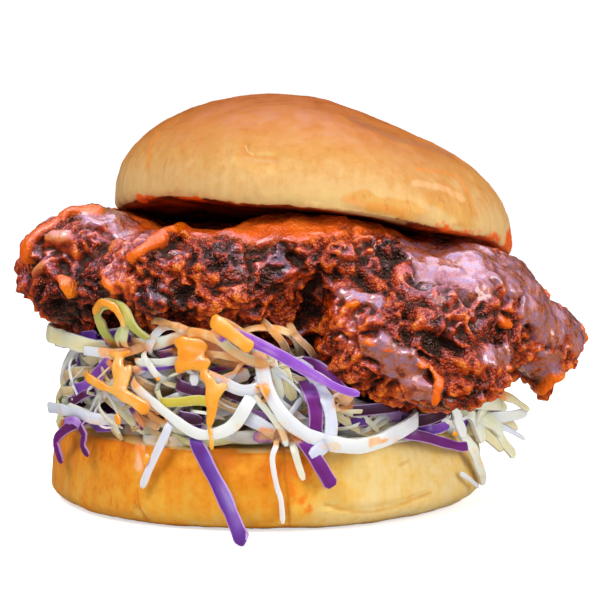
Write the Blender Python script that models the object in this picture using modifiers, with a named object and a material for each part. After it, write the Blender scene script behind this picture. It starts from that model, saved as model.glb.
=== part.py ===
"""A spicy chicken sandwich at its real size: metres, +Z up, +X to the right and -Y to the front.

The origin is the middle of the bottom bun's flat foot. Four solids stack upwards: the heel (the bottom bun),
the slaw with its shreds and thick drizzle, one fried chicken fillet with its folded lobes, and the crown (the
top bun), which lies tipped back and down to the right on the fillet. A bearing is an angle round the sandwich
in degrees: 0 is the front, 90 the right-hand side and -90 the left.
"""

import math
import random

import bmesh
import bpy
from mathutils import Euler, Matrix, Vector, noise
from mathutils.bvhtree import BVHTree

MM = 0.001
GAP = 0.4 * MM  # between neighbouring solids
FAR = 110.0 * MM  # outside every solid, where a ray towards the middle starts

# Heel: a low bun half with a flat foot and a flat cut face.
HEEL_RADIUS = 52.0 * MM
HEEL_HEIGHT = 19.2 * MM
HEEL_FOOT_RADIUS = 45.0 * MM
HEEL_FOOT_SHIFT = -1.6 * MM  # the foot lies a little to the left, so the right side is drawn in below
HEEL_WIDEST_HEIGHT = 5.0 * MM
HEEL_CUT_EDGE = 2.6 * MM  # rounding at the cut face
HEEL_TAPER = 2.0 * MM  # how much the side draws in towards the cut face

# Crown: a half-ellipse dome whose peak leans to the left.
CROWN_RADIUS = 48.0 * MM
CROWN_HEIGHT = 31.3 * MM
CROWN_PLACE = (11.5 * MM, 0.0, 63.6 * MM)  # the middle of its cut face
CROWN_TIP_BACK = math.radians(8.8)
CROWN_TIP_RIGHT = math.radians(5.5)
CROWN_LEAN = 5.0 * MM  # how far the peak stands to the left of the middle
CROWN_SAG_RIGHT = 0.075  # share of its height that the right shoulder loses
CROWN_TWIST = 0.6  # per metre: the left of the front edge is lifted more than the right
CROWN_LIP = 2.6 * MM  # height of the lip below the widest line
CROWN_TUCK = 1.3 * MM  # how much the lip draws in
CROWN_HOLLOW = 1.0 * MM  # how much the cut face rises in its middle

BUN_STEPS = 48  # sides of a turned bun

# The fillet: ellipsoid lobes that run together. Each has its middle and radii in mm, and in degrees how far it
# slopes down to the right.
FILLET_LOBES = {
    "body": ((6, -2, 48), (58, 43, 17), 8),
    "left end": ((-37, -10, 54.5), (21, 30, 14.5), -4),
    "left fold": ((-44.5, -20, 63.5), (13, 13, 7), -14),
    "left tip": ((-55, -12, 52.5), (6, 9, 5.5), 0),
    "left under": ((-39.5, -14, 46.5), (11, 20, 7.5), -20),
    "tongue": ((-23.6, -47, 64), (7.5, 3.4, 2.4), -33),
    "front left": ((-14, -37, 54), (25, 18, 13.5), 4),
    "front middle": ((14, -34, 58), (26, 17, 12), 6),
    "front right": ((31, -38, 42), (25, 19, 17), 10),
    "front right toe": ((40, -44, 33), (15, 13, 8.5), 0),
    "right shoulder": ((43, -24, 51.5), (22, 25, 12), 14),
    "right end": ((56.5, -8, 41.5), (18.5, 28, 12.5), 14),
    "right drip": ((65, -20, 30.5), (4, 5, 7.5), 0),
    "back left": ((-24, 28, 51), (30, 18, 14), 6),
    "back right": ((28, 28, 46), (32, 18, 13), 10),
    "back toe": ((2, 38, 43), (16, 11, 9), 0),
}
# Deep creases down the fillet's front: from (x, z) to (x, z), half-width and depth, in mm.
FILLET_CREASES = (
    ((10.5, 53), (9.5, 34), 2.6, 7.0),
    ((-19, 52), (-21, 40), 2.4, 4.5),
    ((33, 36), (46, 33), 1.8, 3.0),
    ((-45, 57), (-36, 62), 2.0, 3.5),
)
CREASE_FRONT = -18.0 * MM  # only what lies in front of this is creased
FILLET_VOXEL = 1.7 * MM
FILLET_FACES = 4800
PRESS_VOXEL = 1.3 * MM  # of the grown copy that keeps the slaw clear of the fillet
PRESS_KEPT = 0.12  # share of that copy's faces
CRAG_SIZE = 8.5 * MM
CRAG_HEIGHT = 3.6 * MM
PEBBLE_SIZE = 4.2 * MM
PEBBLE_HEIGHT = 1.3 * MM

# Slaw: a wedge of a core, and shreds laid on and poking out of it.
SLAW_RADIUS = 44.0 * MM
SLAW_FLARE = 1.5 * MM
SLAW_TOP = 41.0 * MM  # at the middle, before the fillet presses into it
SLAW_SLOPE = -0.14
SLAW_LUMPS = 1.3 * MM
SLAW_STEPS = 30  # sides of the core
SHRED_THICKNESS = 1.15 * MM
SHRED_CLEAR = GAP + SHRED_THICKNESS  # from a shred's middle to what carries it
SHRED_SPAN = 9.0 * MM  # a shred's longest span, where it is straight
SHRED_TURN = math.radians(27)  # and the most that it turns from one span to the next
FINE_STEP = 1.0 * MM
FLOOR_CLEAR = 0.35 * MM

# Shreds that the front shows: width in mm at the start and end, and points of (bearing, height, radius) in mm.
# A point nearer than the bun or the fillet is moved out onto it.
FRONT_SHREDS = {
    "white loop": (2.6, 3.1, (
        (-3, 38, 43), (-1, 34, 50), (4, 27.5, 53), (13, 21.5, 54.5), (24, 18.7, 55), (35, 19.6, 54),
        (45, 21.4, 51), (52, 22, 42))),
    "white hook": (1.7, 2.8, (
        (-42, 33.5, 43), (-35, 30.7, 50), (-27, 25.7, 52), (-17, 22, 53.5), (-9, 23, 53), (-4, 29, 51),
        (0, 31, 43))),
    "white left": (2.0, 2.3, (
        (-62, 35, 41), (-52, 38.2, 49), (-40, 39, 51), (-30, 40.3, 50), (-23, 42, 41))),
    "white low left": (2.4, 2.2, ((-84, 22.6, 52.5), (-74, 22.8, 51.5), (-60, 23.6, 50), (-46, 23, 42))),
    "white thin drop": (1.3, 1.2, ((1, 23, 42), (2, 20, 51.5), (3, 14, 53.4), (4, 7, 53.3), (5, 2.4, 53))),
    "white short drop": (2.2, 2.0, ((4, 24, 42), (6, 20.6, 51.5), (8, 16.8, 53.6), (10, 12.2, 53.8))),
    "white slanted drop": (2.3, 1.8, (
        (-22, 28, 42), (-24, 23.6, 51), (-26, 20, 53), (-29, 14, 53.4), (-32.5, 8.6, 53.3))),
    "white arch": (2.1, 2.1, (
        (-33, 36, 42), (-31, 40.5, 50), (-27, 44.8, 51), (-21, 44.2, 51), (-13, 43.2, 51), (-4, 40, 51),
        (3, 36, 44))),
    "white middle": (2.4, 2.2, ((-17, 37, 42), (-11, 34.2, 51), (-5, 32.2, 51), (0, 33.5, 42))),
    "purple hanging": (2.8, 3.0, (
        (-20, 26, 42), (-17.5, 21.2, 52), (-15, 16.2, 53.6), (-11.5, 10.4, 55.5), (-8, 4.6, 60),
        (-6.2, 1.6, 64), (-5, 1.0, 67.5))),
    "purple across": (3.0, 1.6, (
        (-16, 41, 42), (-8, 44.6, 54), (-2, 42.2, 55), (6, 38, 56), (14, 34, 57), (21.5, 31, 58.5))),
    "purple fold": (3.0, 3.8, (
        (10, 35, 42), (11.5, 29, 51), (13, 24, 53), (11, 18.8, 55), (13, 14.4, 55), (16, 10.2, 54.5))),
    "purple curl out": (3.4, 2.2, (
        (-53, 25, 42), (-58, 21, 51), (-66, 18, 52.5), (-71.5, 15, 53.5), (-67, 12.2, 54), (-63, 10.6, 53.6))),
    "purple curl in": (3.0, 2.0, ((-55, 25, 42), (-53, 20.5, 51.5), (-51, 17.6, 53.2), (-49, 14.2, 53.6))),
    "purple left": (2.6, 2.4, ((-76, 23, 43), (-68, 24.6, 49), (-58, 27.4, 50), (-47, 28.4, 42))),
    "purple right tip": (2.8, 2.2, ((42, 24, 42), (47, 20.6, 51), (56, 17.6, 52.8), (66, 15, 53.5))),
    "purple right mass": (4.0, 3.2, ((40, 21, 42), (48, 21.8, 50), (55, 23.6, 50.5), (62, 24.4, 42))),
    "purple chunk": (3.2, 3.2, ((18, 23, 42), (23, 24.4, 50), (27.5, 24.4, 50), (32, 22, 42))),
    "right upright": (2.8, 2.4, ((59, 27, 42), (61, 23.6, 50), (63, 19.8, 52), (65, 16.2, 53.2))),
    "right straight": (1.8, 1.4, ((74, 19.8, 43), (83, 20.2, 52), (85, 20.6, 58), (86, 20.7, 63))),
    "right slanted": (2.2, 1.6, ((76, 19.5, 42), (82, 17.6, 53), (84, 13.4, 57), (85, 9.8, 61))),
    "right over edge": (2.4, 2.0, ((60, 21, 42), (63, 16.6, 53), (70, 10.6, 53.6), (79, 4.6, 53.4))),
    "right short": (2.0, 1.6, ((66, 21, 42), (73, 21.8, 50), (79, 17.6, 55), (83, 15.4, 60))),
    "green arch": (2.7, 2.6, (
        (-45, 36, 42), (-45.5, 42, 50), (-44, 47, 52), (-38.5, 50, 53), (-33, 48.8, 53), (-31, 45, 52),
        (-29, 39, 42))),
    "green inner": (2.2, 2.0, ((-44, 37, 42), (-40.5, 41, 51), (-36.5, 44.4, 52), (-31, 46.4, 53))),
    "green low": (2.4, 2.4, ((-31, 30, 42), (-26, 31.5, 51), (-19, 31.4, 51), (-14, 30, 42))),
    "sauced strand": (2.2, 3.6, (
        (-58, 33, 42), (-51, 32.7, 51), (-44, 30.8, 52.5), (-37, 28.2, 53), (-31, 25.2, 53), (-27, 24, 43))),
    "sauced drip": (3.2, 3.4, ((-42, 38, 42), (-40.5, 35.4, 50.5), (-40, 31, 52.5))),
    "sauced patch": (3.6, 4.2, ((-27, 40, 42), (-22, 40.8, 50.5), (-16, 40, 51.5), (-12, 41, 43))),
    "sauced band": (4.0, 3.6, ((-26, 35, 42), (-21, 35.2, 51), (-15, 36.2, 51.5), (-11, 36, 43))),
    "sauced fall": (2.8, 2.2, (
        (-14, 38, 43), (-12.4, 34, 51.5), (-12, 28, 52), (-12.2, 22, 53), (-11.4, 18, 53.4))),
    "sauced lump": (3.4, 4.4, (
        (-16, 46, 43), (-12, 46.4, 53.5), (-8, 44.2, 54.5), (-4, 41, 53), (-1, 38, 43))),
    "pale flake": (3.2, 2.6, ((-82, 35, 43), (-72, 36, 48.5), (-60, 37, 49), (-50, 36, 42))),
    "grey strand high": (2.2, 2.0, ((-84, 29, 43), (-72, 30.5, 49.5), (-60, 32.6, 49), (-50, 34, 42))),
    "grey strand low": (2.4, 2.0, ((-88, 25, 43), (-76, 26.4, 50), (-62, 28.2, 50), (-48, 31, 42))),
}

# Shreds everywhere else are drawn at random inside these bounds.
SHRED_SEED = 41
LOOSE_SHREDS = 35
FRONT_SECTOR = (-62.0, 72.0)  # bearings where the named shreds already lie
LOOSE_LENGTH = (17.0 * MM, 34.0 * MM)
LOOSE_WIDTH = (1.9 * MM, 3.1 * MM)
LOOSE_SUNK = 42.0 * MM  # radius of the end that is tucked in
LOOSE_LAID = (46.5 * MM, 50.0 * MM)
LOOSE_POKE = (0.0 * MM, 5.0 * MM)
LOOSE_REACH = 57.0 * MM  # one that the fillet would push further out than this is left out
LOOSE_UNDER = 3.0 * MM  # how far a shred's middle stays under the fillet
HANGING_SHARE = 0.3
LEFT_EDGE = (-115.0, -70.0)  # bearings where no shred hangs over the heel
SLAW_KEPT = 0.61  # share of its triangles that the fused slaw keeps

COLOURS = {
    "heel": (0.86, 0.56, 0.20, 0.55),
    "slaw": (0.86, 0.84, 0.66, 0.45),
    "chicken": (0.26, 0.06, 0.02, 0.3),
    "crown": (0.78, 0.42, 0.13, 0.35),
}


def clear_scene():
    for thing in list(bpy.data.objects):
        bpy.data.objects.remove(thing)


def new_collection(name):
    made = bpy.data.collections.new(name)
    bpy.context.scene.collection.children.link(made)
    return made


def finish_of(name):
    red, green, blue, roughness = COLOURS[name]
    material = bpy.data.materials.new(name)
    material.use_nodes = True
    shader = material.node_tree.nodes["Principled BSDF"]
    shader.inputs["Base Color"].default_value = (red, green, blue, 1.0)
    shader.inputs["Roughness"].default_value = roughness
    shader.inputs["Metallic"].default_value = 0.0
    material.diffuse_color = (red, green, blue, 1.0)
    return material


def object_from(name, mesh, collection):
    made = bpy.data.objects.new(name, mesh)
    collection.objects.link(made)
    return made


def bake(thing):
    """Replaces the object's mesh by the one that its modifiers give, and removes them."""
    bpy.context.view_layer.update()
    seen = thing.evaluated_get(bpy.context.evaluated_depsgraph_get())
    mesh = bpy.data.meshes.new_from_object(seen)
    thing.modifiers.clear()
    thing.data = mesh


def turned(name, profile, steps, collection):
    """A solid of revolution: the profile is (radius, height) points down its outer side, top to bottom."""
    mesh = bpy.data.meshes.new(name)
    points = [(radius, 0.0, height) for radius, height in profile]
    mesh.from_pydata(points, [(i, i + 1) for i in range(len(points) - 1)], [])
    thing = object_from(name, mesh, collection)
    screw = thing.modifiers.new("turn", "SCREW")
    screw.steps = screw.render_steps = steps
    screw.use_merge_vertices = True
    screw.merge_threshold = 0.01 * MM
    bake(thing)
    return thing


def arc(middle, radii, start, end, steps):
    """Points of an elliptical arc in (radius, height), from one angle to another in degrees."""
    for i in range(steps + 1):
        angle = math.radians(start + (end - start) * i / steps)
        yield middle[0] + radii[0] * math.cos(angle), middle[1] + radii[1] * math.sin(angle)


def heel_profile():
    shoulder = HEEL_RADIUS - HEEL_TAPER
    yield 0.0, HEEL_HEIGHT
    yield from ((HEEL_RADIUS * share, HEEL_HEIGHT) for share in (0.35, 0.65, 0.85))
    middle = (shoulder - HEEL_CUT_EDGE, HEEL_HEIGHT - HEEL_CUT_EDGE)
    yield from arc(middle, (HEEL_CUT_EDGE, HEEL_CUT_EDGE), 90, 0, 3)
    yield HEEL_RADIUS - 0.35 * HEEL_TAPER, 0.5 * (HEEL_HEIGHT + HEEL_WIDEST_HEIGHT)
    width = HEEL_RADIUS - HEEL_FOOT_RADIUS
    yield from arc((HEEL_FOOT_RADIUS, HEEL_WIDEST_HEIGHT), (width, HEEL_WIDEST_HEIGHT), 0, -90, 4)
    yield 0.5 * HEEL_FOOT_RADIUS, 0.0
    yield 0.0, 0.0


def heel_unevenness(point):
    """The baked bun isn't a true round: its side swells and draws in, and its cut face rises and falls."""
    bearing = math.atan2(point.x, -point.y)
    share = math.hypot(point.x, point.y) / HEEL_RADIUS
    swell = 0.007 * math.sin(2 * bearing + 0.7) + 0.006 * math.sin(3 * bearing + 2.1)
    swell += 0.003 * math.sin(7 * bearing)
    level = max(0.0, (point.z - HEEL_WIDEST_HEIGHT) / (HEEL_HEIGHT - HEEL_WIDEST_HEIGHT))
    shift = HEEL_FOOT_SHIFT * max(0.0, 1 - point.z / HEEL_WIDEST_HEIGHT)
    rise = level * share * (0.5 * math.sin(bearing - 1.1) - 0.5 * math.cos(2 * bearing)) * MM
    return Vector((point.x * (1 + swell * share) + shift, point.y * (1 + swell * share), point.z + rise))


def make_heel(collection):
    heel = turned("heel", heel_profile(), BUN_STEPS, collection)
    for vertex in heel.data.vertices:
        vertex.co = heel_unevenness(vertex.co)
    return heel


def crown_profile():
    dome = CROWN_HEIGHT - CROWN_LIP
    yield from arc((0.0, CROWN_LIP), (CROWN_RADIUS, dome), 90, 0, 11)
    yield from list(arc((CROWN_RADIUS - CROWN_TUCK, CROWN_LIP), (CROWN_TUCK, CROWN_LIP), 0, -78, 2))[1:]
    for share in (0.9, 0.6, 0.3, 0.0):
        yield CROWN_RADIUS * share, CROWN_HOLLOW * (1 - share * share)


def crown_unevenness(point):
    """Leans the peak to the left, lowers the right shoulder, and lets the outline and the edge wander."""
    level = max(0.0, point.z / CROWN_HEIGHT)
    share = math.hypot(point.x, point.y) / CROWN_RADIUS
    bearing = math.atan2(point.x, -point.y)
    wander = 0.008 * math.sin(2 * bearing + 1.9) + 0.005 * math.sin(3 * bearing)
    wander += 0.003 * math.sin(5 * bearing + 1)
    to_right = max(0.0, point.x / CROWN_RADIUS)
    height = point.z * (1 - CROWN_SAG_RIGHT * math.sin(math.pi * min(1.0, to_right)) ** 1.4)
    ripple = 0.5 * MM * share**4 * (1 - level) * math.sin(6 * bearing + 0.5)
    return Vector((
        point.x * (1 + wander) - CROWN_LEAN * level,
        point.y * (1 + wander),
        height + CROWN_TWIST * point.x * point.y + ripple,
    ))


def make_crown(collection):
    crown = turned("crown", crown_profile(), BUN_STEPS, collection)
    for vertex in crown.data.vertices:
        vertex.co = crown_unevenness(vertex.co)
    crown.location = CROWN_PLACE
    crown.rotation_euler = Euler((-CROWN_TIP_BACK, CROWN_TIP_RIGHT, 0.0))
    return crown


def swollen(thing, by, name, collection):
    """A copy of a solid grown outwards, in world space: a cutter that leaves a gap round the solid."""
    copy = object_from(name, thing.data.copy(), collection)
    copy.data.transform(thing.matrix_world)
    rim = [vertex.normal.copy() for vertex in copy.data.vertices]
    for vertex, normal in zip(copy.data.vertices, rim):
        vertex.co = vertex.co + normal * by
    copy.hide_render = True
    copy.display_type = "WIRE"
    return copy


def closed_press(thing, collection):
    """A coarse, closed, grown copy of a craggy solid, for cutting its neighbour clear of it."""
    press = swollen(thing, 2 * GAP, thing.name + "_press", collection)
    close = press.modifiers.new("close", "REMESH")
    close.mode = "VOXEL"
    close.voxel_size = PRESS_VOXEL
    fewer = press.modifiers.new("fewer faces", "DECIMATE")
    fewer.ratio = PRESS_KEPT
    bake(press)
    return press


def cut(thing, cutter):
    boolean = thing.modifiers.new("press of " + cutter.name, "BOOLEAN")
    boolean.operation = "DIFFERENCE"
    boolean.object = cutter
    bake(thing)


def lobe(middle, radii, slope):
    """One ellipsoid of the fillet, as a bmesh in metres."""
    ball = bmesh.new()
    bmesh.ops.create_icosphere(ball, subdivisions=4, radius=1.0)
    size = Matrix.Diagonal(Vector(radii) * MM).to_4x4()
    turn = Matrix.Rotation(math.radians(slope), 4, "Y")
    ball.transform(Matrix.Translation(Vector(middle) * MM) @ turn @ size)
    return ball


def crease_depth(point):
    """How far a point of the fillet's front is drawn back by the deep creases."""
    if point.y > CREASE_FRONT:
        return 0.0
    drawn = 0.0
    for start, end, half_width, depth in FILLET_CREASES:
        start, end = Vector(start) * MM, Vector(end) * MM
        along = end - start
        place = Vector((point.x, point.z)) - start
        share = min(1.0, max(0.0, place.dot(along) / along.length_squared))
        away = (place - along * share).length / (half_width * MM)
        drawn += depth * MM * math.exp(-away * away)
    return drawn


def crag(point):
    """Height of the crisp coating's crags: ridges between rounded hollows, with smaller pebbles on them."""
    near, second = noise.voronoi(point / CRAG_SIZE)[0][:2]
    knobs = min(1.0, second - near) - 0.35
    rough = noise.noise(point / (1.7 * CRAG_SIZE))
    pebbles = noise.noise(point / PEBBLE_SIZE + Vector((3, 7, 1)))
    return CRAG_HEIGHT * (0.6 * knobs + 0.5 * rough) + PEBBLE_HEIGHT * pebbles


def make_chicken(collection, crown_press):
    lobes = bpy.data.meshes.new("chicken")
    joined = bmesh.new()
    for middle, radii, slope in FILLET_LOBES.values():
        ball = lobe(middle, radii, slope)
        ball.to_mesh(lobes)
        ball.free()
        joined.from_mesh(lobes)
    joined.to_mesh(lobes)
    joined.free()
    chicken = object_from("chicken", lobes, collection)
    remesh = chicken.modifiers.new("run together", "REMESH")
    remesh.mode = "VOXEL"
    remesh.voxel_size = FILLET_VOXEL
    smooth = chicken.modifiers.new("soften", "SMOOTH")
    smooth.factor = 0.5
    smooth.iterations = 6
    bake(chicken)
    rim = [vertex.normal.copy() for vertex in chicken.data.vertices]
    for vertex, normal in zip(chicken.data.vertices, rim):
        place = vertex.co.copy()
        vertex.co = place + normal * crag(place) + Vector((0, crease_depth(place), 0))
    again = chicken.modifiers.new("even out", "REMESH")
    again.mode = "VOXEL"
    again.voxel_size = FILLET_VOXEL
    bake(chicken)
    fewer = chicken.modifiers.new("fewer faces", "DECIMATE")
    fewer.ratio = FILLET_FACES / (2 * len(chicken.data.polygons))
    bake(chicken)
    cut(chicken, crown_press)
    return chicken


def at_bearing(bearing, radius, height):
    angle = math.radians(bearing)
    return Vector((radius * math.sin(angle), -radius * math.cos(angle), height))


def lowest_above(tree, place, reach):
    """Height of a solid's underside over a place, taking the lowest point within reach of it."""
    found = []
    for i in range(9):
        angle, radius = math.radians(40 * i), reach * (i > 0)
        aside = radius * Vector((math.cos(angle), math.sin(angle)))
        hit = tree.ray_cast((place.x + aside.x, place.y + aside.y, HEEL_HEIGHT), (0, 0, 1))[0]
        if hit:
            found.append(hit.z)
    return min(found, default=SLAW_TOP)


def highest_below(tree, place, reach):
    """Height of a solid's upper face under a place, taking the highest point within reach of it."""
    found = []
    for i in range(9):
        angle, radius = math.radians(40 * i), reach * (i > 0)
        aside = radius * Vector((math.cos(angle), math.sin(angle)))
        hit = tree.ray_cast((place.x + aside.x, place.y + aside.y, 2 * HEEL_HEIGHT), (0, 0, -1))[0]
        if hit:
            found.append(hit.z)
    return max(found, default=HEEL_HEIGHT)


def make_core(collection, heel_tree, chicken_tree):
    """The slaw's packed inside: a lumpy wedge that fills the space between the heel and the fillet."""
    profile = [(SLAW_RADIUS * share, 1.0) for share in (0.0, 0.3, 0.55, 0.78, 0.94)]
    profile += [(SLAW_RADIUS + SLAW_FLARE, 0.78), (SLAW_RADIUS + 0.5 * SLAW_FLARE, 0.3)]
    profile += [(SLAW_RADIUS * share, 0.0) for share in (0.98, 0.5, 0.0)]
    core = turned("slaw", profile, SLAW_STEPS, collection)
    for vertex in core.data.vertices:
        place = vertex.co.copy()
        lump = 1 + 2 * SLAW_LUMPS / SLAW_RADIUS * noise.noise(Vector((place.x, place.y, place.z * MM)) / (9 * MM))
        place = Vector((place.x * lump, place.y * lump, place.z))
        floor = highest_below(heel_tree, place, 3 * MM) + GAP
        roof = lowest_above(chicken_tree, place, 4.5 * MM) - 2 * GAP
        roof = min(roof, SLAW_TOP + SLAW_SLOPE * place.x)
        vertex.co = Vector((place.x, place.y, floor + (roof - floor) * place.z))
    return core


def smooth_route(points):
    """Points about a millimetre apart on a Catmull-Rom curve through the given ones."""
    ends = [2 * points[0] - points[1], *points, 2 * points[-1] - points[-2]]
    route = []
    for before, start, end, after in zip(ends, ends[1:], ends[2:], ends[3:]):
        steps = max(1, round((end - start).length / FINE_STEP))
        for t in (i / steps for i in range(steps)):
            route.append(0.5 * (
                2 * start
                + (end - before) * t
                + (2 * before - 5 * start + 4 * end - after) * t * t
                + (3 * start - before - 3 * end + after) * t**3
            ))
    route.append(points[-1])
    return route


def thinned_route(route):
    """Few points of a fine route: close where it bends, far apart where it is straight."""
    kept, length, turned_by = [route[0]], 0.0, 0.0
    for before, here, after in zip(route, route[1:], route[2:]):
        length += (here - before).length
        turned_by += (here - before).angle(after - here, 0.0)
        if length > SHRED_SPAN or turned_by > SHRED_TURN:
            kept.append(here)
            length, turned_by = 0.0, 0.0
    return [*kept, route[-1]]


def outward(point):
    return Vector((point.x, point.y, 0.0)).normalized()


def laid_out(route, width, carriers):
    """Moves a fine route away from the axis until a shred along it clears the solids that carry it."""
    pushes = []
    for point in route:
        away, radius = outward(point), math.hypot(point.x, point.y)
        needed = radius
        for height in (point.z - 0.4 * width, point.z, point.z + 0.4 * width):
            start = Vector((0, 0, height)) + away * FAR
            hits = [carrier.ray_cast(start, -away)[0] for carrier in carriers]
            needed = max([needed] + [math.hypot(hit.x, hit.y) + SHRED_CLEAR for hit in hits if hit])
        pushes.append(needed - radius if radius > SLAW_RADIUS + SLAW_FLARE else 0.0)
    reach = [max(pushes[max(0, i - 2):i + 3]) for i in range(len(pushes))]
    even = [sum(near) / len(near) for near in (reach[max(0, i - 3):i + 4] for i in range(len(reach)))]
    return [point + outward(point) * push for point, push in zip(route, even)]


def shred(name, route, widths, collection):
    """A strip with a flat section along a fine route, whose broad side faces away from the sandwich's middle."""
    start_width, end_width = widths
    route = thinned_route(route)
    mesh = bmesh.new()
    rings = []
    for i, point in enumerate(route):
        before, after = route[max(0, i - 1)], route[min(len(route) - 1, i + 1)]
        along = (after - before).normalized()
        across = along.cross(outward(point)).normalized()
        face = across.cross(along).normalized()
        share = i / (len(route) - 1)
        width = start_width + (end_width - start_width) * share
        blunt = 0.72 if i in (0, len(route) - 1) else 1.0
        half, thick = 0.5 * width * blunt, 0.5 * SHRED_THICKNESS * blunt
        corners = ((half, thick), (-half, thick), (-half, -thick), (half, -thick))
        ring = [point + across * u + face * v for u, v in corners]
        rings.append([mesh.verts.new((at.x, at.y, max(at.z, FLOOR_CLEAR))) for at in ring])
    for here, there in zip(rings, rings[1:]):
        for k in range(4):
            mesh.faces.new((here[k], there[k], there[k - 1], here[k - 1]))
    mesh.faces.new(rings[0])
    mesh.faces.new(rings[-1][::-1])
    bmesh.ops.recalc_face_normals(mesh, faces=mesh.faces)
    bmesh.ops.triangulate(mesh, faces=mesh.faces)
    made = bpy.data.meshes.new(name)
    mesh.to_mesh(made)
    mesh.free()
    return object_from(name, made, collection)


def front_shreds(carriers, collection):
    for name, (start_width, end_width, points) in FRONT_SHREDS.items():
        widths = start_width * MM, end_width * MM
        points = [at_bearing(bearing, radius * MM, height * MM) for bearing, height, radius in points]
        shred(name, laid_out(smooth_route(points), max(widths), carriers), widths, collection)


def loose_points(draw, bearing, fillet):
    """Four points of a shred drawn at random: tucked in, laid on the slaw's side, and its free end."""
    sunk = at_bearing(bearing, LOOSE_SUNK, HEEL_HEIGHT)
    height = sunk.z + (lowest_above(fillet, sunk, 2 * MM) - sunk.z) * draw.uniform(0.12, 0.85)
    length = draw.uniform(*LOOSE_LENGTH)
    hanging = draw.random() < HANGING_SHARE and not LEFT_EDGE[0] < bearing - 360 < LEFT_EDGE[1]
    heading = math.radians(draw.uniform(-80, -45) if hanging else draw.uniform(-22, 22))
    side = draw.choice((-1, 1))
    laid = draw.uniform(*LOOSE_LAID)
    poke = draw.uniform(*LOOSE_POKE)
    bend = draw.uniform(-5, 5) * MM
    points = []
    for share, radius in ((0.0, LOOSE_SUNK), (0.22, laid), (0.6, laid + 0.3 * poke), (1.0, laid + poke)):
        turn = math.degrees(side * share * length * math.cos(heading) / laid)
        lift = share * length * math.sin(heading) + bend * math.sin(math.pi * share)
        place = at_bearing(bearing + turn, radius, max(4 * FLOOR_CLEAR, height + lift))
        place.z = min(place.z, lowest_above(fillet, place, 2 * MM) - LOOSE_UNDER)
        points.append(place)
    return points


def loose_shreds(carriers, collection):
    draw = random.Random(SHRED_SEED)
    spread = 360.0 - (FRONT_SECTOR[1] - FRONT_SECTOR[0])
    for k in range(LOOSE_SHREDS):
        bearing = FRONT_SECTOR[1] + spread * (k + draw.uniform(-0.4, 0.4)) / LOOSE_SHREDS
        width = draw.uniform(*LOOSE_WIDTH)
        route = laid_out(smooth_route(loose_points(draw, bearing, carriers[1])), width, carriers)
        if max(math.hypot(point.x, point.y) for point in route) < LOOSE_REACH:
            shred(f"loose {k}", route, (width, 0.8 * width), collection)


def largest_piece(thing):
    """Drops the scraps that a cut left loose, and keeps the one body."""
    mesh = bmesh.new()
    mesh.from_mesh(thing.data)
    unseen, bodies = set(mesh.verts), []
    while unseen:
        body, edge_of = set(), [unseen.pop()]
        while edge_of:
            vertex = edge_of.pop()
            body.add(vertex)
            near = {edge.other_vert(vertex) for edge in vertex.link_edges} & unseen
            unseen -= near
            edge_of.extend(near)
        bodies.append(body)
    bodies.sort(key=len)
    for body in bodies[:-1]:
        bmesh.ops.delete(mesh, geom=list(body), context="VERTS")
    mesh.to_mesh(thing.data)
    mesh.free()


def tree_of(thing):
    mesh = bmesh.new()
    mesh.from_mesh(thing.data)
    mesh.transform(thing.matrix_world)
    tree = BVHTree.FromBMesh(mesh)
    mesh.free()
    return tree


def make_slaw(collection, cutters, heel, chicken):
    carriers = [tree_of(heel), tree_of(chicken)]
    slaw = make_core(collection, *carriers)
    shreds = new_collection("shreds")
    front_shreds(carriers, shreds)
    loose_shreds(carriers, shreds)
    union = slaw.modifiers.new("shreds fused on", "BOOLEAN")
    union.operation = "UNION"
    union.operand_type = "COLLECTION"
    union.collection = shreds
    fewer = slaw.modifiers.new("fewer faces", "DECIMATE")
    fewer.ratio = SLAW_KEPT
    bake(slaw)
    for thing in list(shreds.objects):
        bpy.data.objects.remove(thing)
    bpy.data.collections.remove(shreds)
    cut(slaw, swollen(heel, 0.8 * GAP, "heel_press", cutters))
    cut(slaw, closed_press(chicken, cutters))
    largest_piece(slaw)
    return slaw


def build():
    clear_scene()
    sandwich = new_collection("spicy_chicken_sandwich")
    cutters = new_collection("cutters")
    heel = make_heel(sandwich)
    crown = make_crown(sandwich)
    bpy.context.view_layer.update()
    chicken = make_chicken(sandwich, swollen(crown, GAP, "crown_press", cutters))
    slaw = make_slaw(sandwich, cutters, heel, chicken)
    for thing in (heel, slaw, chicken, crown):
        thing.data.materials.clear()
        thing.data.materials.append(finish_of(thing.name))
    for bun in (heel, crown):
        bun.data.shade_smooth()
        bun.data.set_sharp_from_angle(angle=math.radians(40))


build()
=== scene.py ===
"""Looks of a spicy chicken sandwich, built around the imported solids.

Everything is in metres in the solids' frame: X to the right, Y to the back, Z up, the table at Z = 0.
A bearing is in degrees round the upright axis: 0 faces the front, 90 the right.
"""

import math
import random

import bmesh
import bpy
import numpy as np
from mathutils import Euler, Matrix, Vector, noise
from mathutils.bvhtree import BVHTree


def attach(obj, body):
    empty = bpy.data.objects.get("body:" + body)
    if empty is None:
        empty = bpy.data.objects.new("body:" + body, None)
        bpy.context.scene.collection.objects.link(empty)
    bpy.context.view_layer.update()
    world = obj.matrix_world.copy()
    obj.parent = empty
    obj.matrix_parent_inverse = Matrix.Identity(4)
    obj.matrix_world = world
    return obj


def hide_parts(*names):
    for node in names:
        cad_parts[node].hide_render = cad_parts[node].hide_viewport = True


MM = 0.001
NOISE_SEED = 5

# Camera, as the sandwich was looked at.
CAMERA_TARGET = (0.0079, 0.0, 0.047)
CAMERA_DISTANCE = 0.55
CAMERA_ELEVATION = math.radians(5.0)
CAMERA_LENS = 137.5
CAMERA_SENSOR = 36.0

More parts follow.
